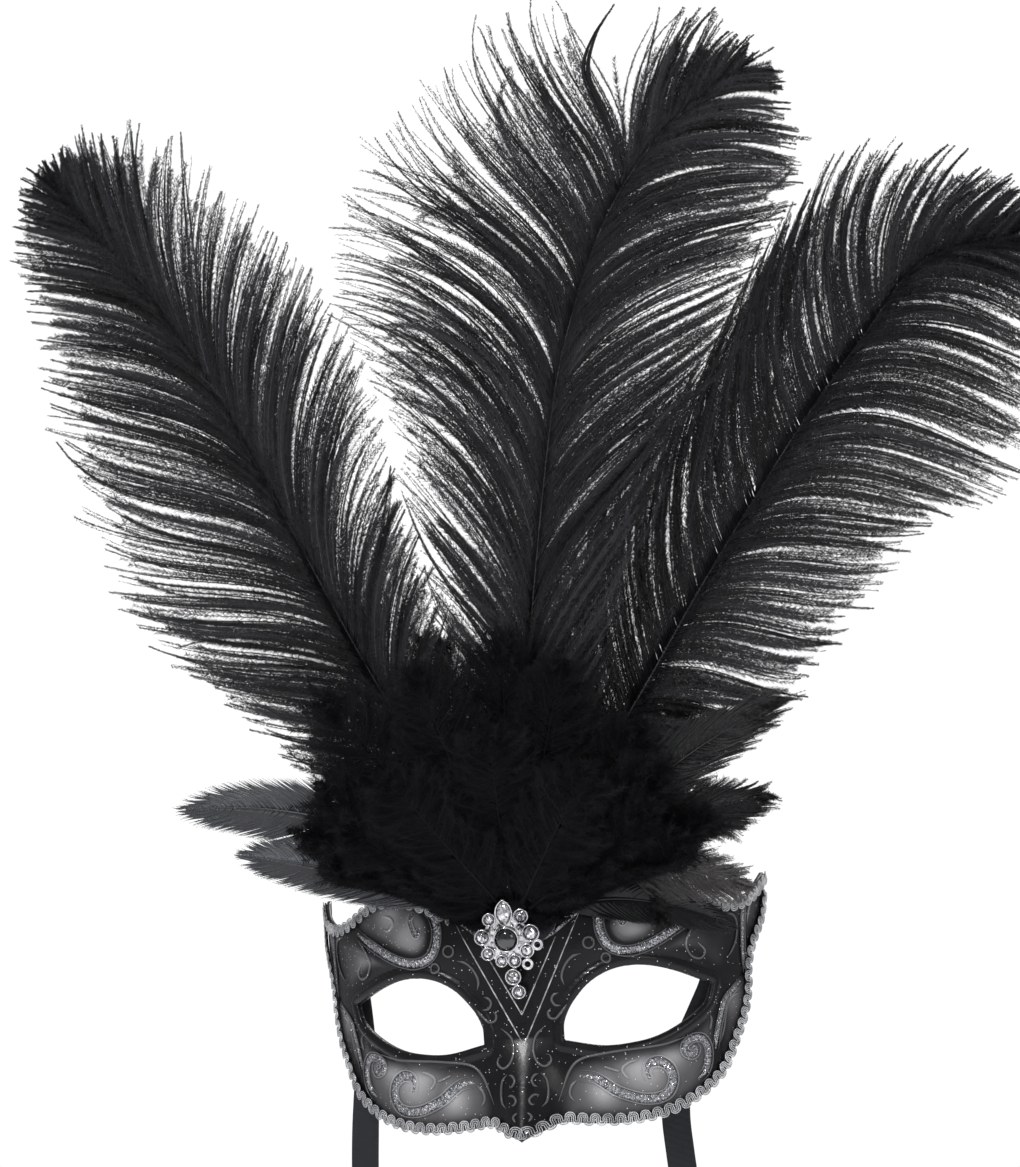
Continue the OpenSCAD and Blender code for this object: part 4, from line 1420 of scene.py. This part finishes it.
# Longer feathers: name, root, middle and tip of the shaft, half width.
LOOSE = [
    ("upper_left_side_feather", (-12, -0.2, 60), (-66, -2, 90), (-127, 4, 99), 14),
    ("lower_left_side_feather", (-13, -0.2, 56), (-60, -5, 70), (-106, 4, 80), 12),
    ("upper_right_side_feather", (12, -0.2, 60), (58, -2, 98), (106, 4, 124), 13),
    ("lower_right_side_feather", (13, -0.2, 57), (60, -5, 80), (100, 8, 88), 12),
    ("temple_feather", (17.5, -2.2, 51), (46, 0.5, 53), (79, 27, 40), 9),
]


def bend(root, middle, tip, t):
    """Points of a shaft that bows through its middle."""
    t = np.asarray(t, float)[:, None]
    return (1 - t) ** 2 * root + 2 * t * (1 - t) * (2 * middle - (root + tip) / 2) + t * t * tip


def leaf(t, blunt):
    """Half width of a vane from its root to its tip."""
    t = np.clip(t, 0, 0.995)
    return 0.08 + 0.92 * np.sin(np.pi * t ** 0.8) ** blunt


def vane_lines(root, middle, tip, half, narrow, rng, style):
    """Barbs of both sides of a short feather; narrow is how much each side loses outwards."""
    sides = []
    for sign, loss in zip((-1, 1), narrow):
        t = np.linspace(0.04, 1, style["count"]) + rng.normal(0, style["uneven"], style["count"])
        t = np.clip(np.sort(t), 0.03, 1)
        a = bend(root, middle, tip, t)
        tangent = unit(bend(root, middle, tip, t + 0.02) - bend(root, middle, tip, t - 0.02))
        side = sign * unit(np.cross(tangent, FRONT))
        ahead = np.minimum(t + style["lean"] * (1 - 0.45 * t), rng.uniform(0.93, 1.05, len(t)))
        wide = half * leaf(np.minimum(t + 0.4 * style["lean"], 1), style["blunt"])
        wide = wide * rng.uniform(1 - style["ragged"], 1.03, len(t)) * np.sqrt(ramp(1 - t, -0.01, 0.14))
        wide = wide * (1 - loss * ramp(t, 0.08, 0.4))
        end = bend(root, middle, tip, ahead) + wide[:, None] * side
        end = end + rng.normal(0, style["loose"], (len(t), 3)) * np.array([1, 1.6, 1])
        end[:, 1] = np.maximum(end[:, 1], BARB_FRONT_LIMIT)
        if style["rests"]:
            lowest = np.interp(end[:, 0], RUFF_REST[:, 0], RUFF_REST[:, 1]) + rng.uniform(0, 4, len(t))
            end[:, 2] = np.maximum(end[:, 2], lowest)
        start = unit(side + 0.9 * tangent)
        finish = unit(0.5 * side + 1.1 * tangent + rng.normal(0, 0.08 * style["loose"], (len(t), 3)))
        lines = bezier(a, start, finish, end, style["points"])
        sides.append(gathered(lines, in_groups(len(t), style["group"], rng), style["pull"], rng))
    return sides


def short_feather(name, root, middle, tip, half, look, seed, style, nodes, narrow=(0, 0)):
    """A short feather: its shaft and two rows of barbs, as one piece."""
    rng = np.random.default_rng(seed)
    root, middle, tip = (np.array(v, float) for v in (root, middle, tip))
    parts = []
    for lines in vane_lines(root, middle, tip, half, narrow, rng, style):
        fluff, hair = style["fluff"], style["hair"]
        parts.append(barb_mesh(lines, style["radius"], fluff, hair, FLUFF_WIDTH, rng, style["flat"]))
    t = np.linspace(0, 1, 14)
    shaft = bend(root, middle, tip, t)
    parts.append(tubes(shaft[None], (0.7 * (1 - 0.8 * t))[None], sides=6))
    points, faces = joined(parts)
    add_piece(name + "_barbs", points, faces, look, nodes=nodes)


RUFF_STYLE = {
    "count": 120, "lean": 0.22, "group": 3, "pull": 0.5, "radius": 0.3, "flat": 0.5, "points": 8,
    "fluff": 110, "hair": (4.5, 3.5), "loose": 3.0, "blunt": 0.32, "ragged": 0.3, "uneven": 0.02,
    "rests": True,
}
SIDE_STYLE = {
    "count": 210, "lean": 0.24, "group": 24, "pull": 0.1, "radius": 0.62, "flat": 0.1, "points": 9,
    "fluff": 10, "hair": (1.4, 0.8), "loose": 0.15, "blunt": 0.5, "ragged": 0.05, "uneven": 0.002,
    "rests": False,
}
SPIKY_STYLE = {
    "count": 260, "lean": 0.34, "group": 11, "pull": 0.8, "radius": 0.42, "flat": 0.2, "points": 9,
    "fluff": 60, "hair": (2.6, 0.7), "loose": 0.9, "blunt": 0.55, "ragged": 0.16, "uneven": 0.004,
    "rests": False,
}
THIN_STYLE = {
    "count": 150, "lean": 0.3, "group": 4, "pull": 0.55, "radius": 0.3, "flat": 0.3, "points": 9,
    "fluff": 70, "hair": (2.2, 0.8), "loose": 1.3, "blunt": 0.45, "ragged": 0.25, "uneven": 0.01,
    "rests": False,
}
DENSE_STYLE = {**THIN_STYLE, "count": 260, "fluff": 60}
# Soft tufts over the brow and by the mask's right corner: name, root, middle and tip of
# the shaft, half width.
TUFTS = [
    ("right_grey_tuft", (28, 4, 73), (58, 3, 65), (89, 6, 55), 12),
    ("right_high_tuft", (30, 6, 84), (60, 6, 83), (88, 8, 78), 9),
    ("brow_tuft", (34, -3, 74), (45, 2, 60), (56.5, 4.5, 43), 6),
    ("left_brow_fluff", (-3, -5, 54), (-14, -6, 51), (-30, -5, 56), 10),
    ("right_brow_fluff", (3, -5, 54), (14, -6, 51), (32, -5, 57), 10),
]


def make_ruff(look):
    """The short feathers, fanned out round the foot of the plumes."""
    for k, (angle, length, root_y, tip_y, half) in enumerate(RUFF):
        a = math.radians(angle)
        away = np.array([math.sin(a), 0, math.cos(a)])
        root = np.array([0, root_y, RUFF_CENTRE]) + RUFF_ROOT_RADIUS * away
        tip = np.array([0, tip_y, RUFF_CENTRE]) + (RUFF_ROOT_RADIUS + length) * away
        middle = (root + tip) / 2 + np.array([0, RUFF_ARCH * (tip_y - root_y), 0])
        low = RUFF_LOW_SIDE * ramp(abs(angle), 30, 66)
        narrow = (low, 0) if angle < 0 else (0, low)
        name = f"short_feather_{k + 1}"
        short_feather(name, root, middle, tip, RUFF_FULLNESS * half, look, 40 + k, RUFF_STYLE, [name], narrow)


def make_row(feathers, looks, usual, seed, in_cad):
    """Longer feathers or tufts; looks holds the look and style of the unusual ones."""
    for k, (name, root, middle, tip, half) in enumerate(feathers):
        look, style = looks.get(name, usual)
        nodes = [name] if in_cad else []
        short_feather(name, root, middle, tip, half, look, seed + k, style, nodes)


ruff_black = barb_look("ruff_barbs", (0.003, 0.003, 0.004), 0.7, 0.02, 0.15)
side_grey = barb_look("side_feather_barbs", (0.03, 0.03, 0.032), 0.42, 0.35)
tuft_brown = barb_look("tuft_barbs", (0.06, 0.053, 0.051), 0.35, 0.4)
smoky_black = barb_look("smoky_barbs", (0.009, 0.0085, 0.0085), 0.4, 0.1, 0.35)
make_ruff(ruff_black)
SIDE_LOOKS = {
    "upper_right_side_feather": (smoky_black, SPIKY_STYLE),
    "lower_right_side_feather": (plume_black, SPIKY_STYLE),
    "temple_feather": (plume_black, SIDE_STYLE),
}
TUFT_LOOKS = {
    "right_grey_tuft": (tuft_brown, DENSE_STYLE),
    "brow_tuft": (plume_black, THIN_STYLE),
    "left_brow_fluff": (ruff_black, RUFF_STYLE),
    "right_brow_fluff": (ruff_black, RUFF_STYLE),
}
make_row(LOOSE, SIDE_LOOKS, (side_grey, SIDE_STYLE), 80, True)
make_row(TUFTS, TUFT_LOOKS, (tuft_brown, THIN_STYLE), 90, False)

# ---- brooch ----

BROOCH_AT = np.array([-2.6, -8.6, 41.5])
BROOCH_TILT = 9.0
BROOCH_PLATE = 0.8
CUP_HEIGHT = 2.0
CENTRE_STONE_RADIUS = 4.2
ROUND_STONES = [
    (-5.8, 8, 2), (-9, 1.4, 2.5), (-7.4, -5, 2), (-2.4, -8, 1.8),
    (2.6, -8.2, 2), (7.6, -4.6, 2.2), (9.6, 2, 2.8), (6.4, 8.6, 2.3),
]
DROP_STONES = [(1.4, -14.4, 2.5), (3, -20.2, 2.1)]
EMPTY_RINGS = [(7.4, -9.8, 1.6), (11.8, -2.6, 1.6)]
STONE_SIDES = 12
STONE_TABLE = 0.56
BEADS = 14
BEAD_CIRCLE = 5.75
BEAD_RADIUS = 0.5
BEAD_HEIGHT = 1.7
MARQUISE_AT = (0, 10.2)
MARQUISE_LENGTH = 9.4
MARQUISE_WIDTH = 5.6


def brooch_place(points):
    """Brooch coordinates (right, up, out) to the frame."""
    a = math.radians(90 + BROOCH_TILT)
    p = np.asarray(points, float)
    y = p[..., 1] * math.cos(a) - p[..., 2] * math.sin(a)
    z = p[..., 1] * math.sin(a) + p[..., 2] * math.cos(a)
    return BROOCH_AT + np.stack([p[..., 0], y, z], -1)


def round_outline(centre, radius, count, turn=0.0):
    """Corners spaced evenly round a circle."""
    a = around(count, turn)
    return np.asarray(centre, float) + radius * np.stack([np.cos(a), np.sin(a)], -1)


def marquise(length, width, count):
    """Two arcs that meet in points above and below."""
    r = (length ** 2 + width ** 2) / (4 * width)
    reach = math.asin(length / 2 / r)
    a = np.linspace(-reach, reach, count // 2, endpoint=False)
    right = np.stack([r * np.cos(a) - (r - width / 2), r * np.sin(a)], -1)
    return np.vstack([right, -right]) + np.array(MARQUISE_AT)


def faceted(outline, crown, girdle):
    """A cut stone on an outline: flat table, two rows of facets, girdle and closed back."""
    count = len(outline)
    middle = outline.mean(0)
    low = np.column_stack([outline, np.full(count, BROOCH_PLATE)])
    top = np.column_stack([outline, np.full(count, BROOCH_PLATE + girdle)])
    half = (outline + np.roll(outline, -1, 0)) / 2
    waist = BROOCH_PLATE + girdle
    star_ring = middle + (half - middle) * 0.8
    between = np.column_stack([star_ring, np.full(count, waist + 0.6 * crown)])
    table_ring = middle + (outline - middle) * STONE_TABLE
    face = np.column_stack([table_ring, np.full(count, waist + crown)])
    points = np.vstack([low, top, between, face])
    k = np.arange(count)
    n = (k + 1) % count
    quads = np.stack([k, n, n + count, k + count], -1)
    lower = np.stack([k + count, n + count, k + 2 * count], -1)
    star = np.stack([k + 2 * count, n + 3 * count, k + 3 * count], -1)
    kite = np.stack([k + 2 * count, n + 2 * count, n + 3 * count], -1)
    kite_low = np.stack([k + 2 * count, n + count, n + 2 * count], -1)
    cap = (k + 3 * count)[None]
    back = k[::-1][None]
    return points, [quads, lower, kite_low, kite, star, cap, back]


def make_stones(clear, black):
    """Cut stones in the seats of the CAD setting."""
    def place(name, parts, look, slot, node):
        points, faces = joined(parts)
        add_piece(name, brooch_place(points), faces, look, nodes=[node], smooth=False)

    for kind, stones in (("round", ROUND_STONES), ("drop", DROP_STONES)):
        cut = [faceted(round_outline((x, y), r, STONE_SIDES, 0.25), 0.5 * r, 0.7) for x, y, r in stones]
        place(f"{kind}_rhinestones", cut, clear, "clear_stone", f"{kind}_stones")
    place("marquise_rhinestone", [faceted(marquise(MARQUISE_LENGTH, MARQUISE_WIDTH, 20), 1.1, 0.8)],
          clear, "clear_stone", "marquise_stone")
    place("black_centre_stone", [faceted(round_outline((0, 0), CENTRE_STONE_RADIUS, 16), 1.9, 0.9)],
          black, "black_stone", "centre_stone")


BEZEL = [(0.0, -0.2), (0.28, 0.35), (0.3, 0.75), (0.05, 1.0), (-0.3, 0.75), (-0.34, 0.2)]


def bezel(outline, top, thick=0.6):
    """A rounded collar that holds a stone along its outline."""
    middle = outline.mean(0)
    out = unit(outline - middle)
    rings = []
    for across, up in BEZEL:
        ring = outline + out * (across * thick * 1.6 + 0.25)
        rings.append(np.column_stack([ring, np.full(len(ring), top - 1.4 + up * 1.6)]))
    rings = np.array(rings)
    count = len(outline)
    i = np.arange(len(BEZEL))[:, None] * count
    j = (np.arange(len(BEZEL))[:, None] + 1) % len(BEZEL) * count
    k = np.arange(count)
    n = (k + 1) % count
    faces = np.stack([i + k, i + n, j + n, j + k], -1).reshape(-1, 4)
    return rings.reshape(-1, 3), [faces]


def bead(centre, radius, height):
    """A small round bead of metal."""
    rows, sides = 5, 10
    a = np.linspace(-0.45 * np.pi, 0.45 * np.pi, rows)
    turn = around(sides)
    ring = np.cos(a)[:, None, None] * np.stack([np.cos(turn), np.sin(turn)], -1)[None]
    flat_part = np.asarray(centre) + radius * ring
    up = np.broadcast_to((height + radius * np.sin(a))[:, None, None], (rows, sides, 1))
    points = np.concatenate([flat_part, up], -1)
    return points.reshape(-1, 3), rings_to_faces(1, rows, sides)


def make_setting_detail(silver):
    """Collars round the stones and beads between them, on the CAD setting."""
    parts = []
    top = CUP_HEIGHT + 0.25
    for x, y, r in ROUND_STONES + DROP_STONES:
        parts.append(bezel(round_outline((x, y), r + 0.12, 32), top))
    parts.append(bezel(round_outline((0, 0), CENTRE_STONE_RADIUS + 0.15, 40), top + 0.2, 0.7))
    parts.append(bezel(marquise(MARQUISE_LENGTH + 0.2, MARQUISE_WIDTH + 0.2, 48), top + 0.1, 0.7))
    for x, y, r in EMPTY_RINGS:
        parts.append(bezel(round_outline((x, y), r - 0.1, 28), top - 0.2, 0.45))
    for a in around(BEADS, 0.4):
        centre = (BEAD_CIRCLE * np.cos(a), BEAD_CIRCLE * np.sin(a))
        parts.append(bead(centre, BEAD_RADIUS, BEAD_HEIGHT))
    points, faces = joined(parts)
    add_piece("brooch_collars", brooch_place(points), faces, silver)


silver = silver_look()
clear = stone_look("clear_rhinestone", (0.1, 0.1, 0.11), (0.95, 0.95, 0.97), 0.8, 0.7)
black_glass = stone_look("black_glass", (0.001, 0.0015, 0.0015), (0.006, 0.009, 0.009), 0.0, 0.12)
make_stones(clear, black_glass)
make_setting_detail(silver)

# ---- CAD nodes that stay ----


def give_look(node, look):
    """Gives a CAD node a material."""
    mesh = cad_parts[node].data
    mesh.materials.clear()
    mesh.materials.append(look)


horn = quill_look()
for side in ("left", "middle", "right"):
    give_look(f"{side}_plume_quill", horn)
give_look("brooch_setting", silver)

# ---- surroundings ----

FLOOR = -0.374
FLOOR_RADIUS = 3.3
FLOOR_SIDES = 96


def make_floor():
    """A wide round floor of pale paper, just under the ribbons."""
    mesh = bpy.data.meshes.new("floor")
    turn = around(FLOOR_SIDES)
    rim = [(FLOOR_RADIUS * math.cos(a), FLOOR_RADIUS * math.sin(a), FLOOR) for a in turn]
    mesh.from_pydata(rim, [], [tuple(range(FLOOR_SIDES))])
    look = Look("floor_paper", Roughness=0.9)
    look.mottled(look.noise(4, 2), 0.3, 0.7, (0.84, 0.84, 0.84), (0.87, 0.87, 0.87))
    mesh.materials.append(look.material)
    floor = bpy.data.objects.new("floor", mesh)
    bpy.context.scene.collection.objects.link(floor)


def area_light(name, place, aim, size, power):
    """A round soft light."""
    data = bpy.data.lights.new(name, "AREA")
    data.shape = "DISK"
    data.size = size
    data.energy = power
    light = bpy.data.objects.new(name, data)
    light.location = place
    light.rotation_euler = (Vector(aim) - Vector(place)).to_track_quat("-Z", "Y").to_euler()
    bpy.context.scene.collection.objects.link(light)


def make_room(world):
    """A white backdrop behind an even room; what glossy surfaces see of the room is dimmer."""
    world.use_nodes = True
    tree = world.node_tree
    rays = tree.nodes.new("ShaderNodeLightPath")
    seen = tree.nodes["Background"]
    seen.inputs["Color"].default_value = (0.93, 0.96, 1, 1)
    seen.inputs["Strength"].default_value = 0.95
    for ray, strength in (("Is Glossy Ray", 0.28), ("Is Camera Ray", 1.05)):
        other = tree.nodes.new("ShaderNodeBackground")
        other.inputs["Color"].default_value = (1, 1, 1, 1)
        other.inputs["Strength"].default_value = strength
        mix = tree.nodes.new("ShaderNodeMixShader")
        tree.links.new(rays.outputs[ray], mix.inputs[0])
        tree.links.new(seen.outputs[0], mix.inputs[1])
        tree.links.new(other.outputs[0], mix.inputs[2])
        seen = mix
    tree.links.new(seen.outputs[0], tree.nodes["World Output"].inputs["Surface"])


def make_lights():
    """The room's light and four soft lights."""
    world = bpy.data.worlds.new("studio")
    make_room(world)
    bpy.context.scene.world = world
    area_light("key", (-0.34, -1.25, 1.2), (0, 0, 0.05), 0.3, 16)
    area_light("fill", (1.3, -1.1, 0.5), (0, 0, 0.1), 0.8, 4)
    area_light("back", (0.3, 1.3, 1.2), (0, 0, 0.2), 0.8, 7)
    area_light("top", (0, -0.2, 2.6), (0, 0, 0), 2.0, 10)
    bpy.context.scene.view_settings.view_transform = "Standard"


make_floor()
make_lights()
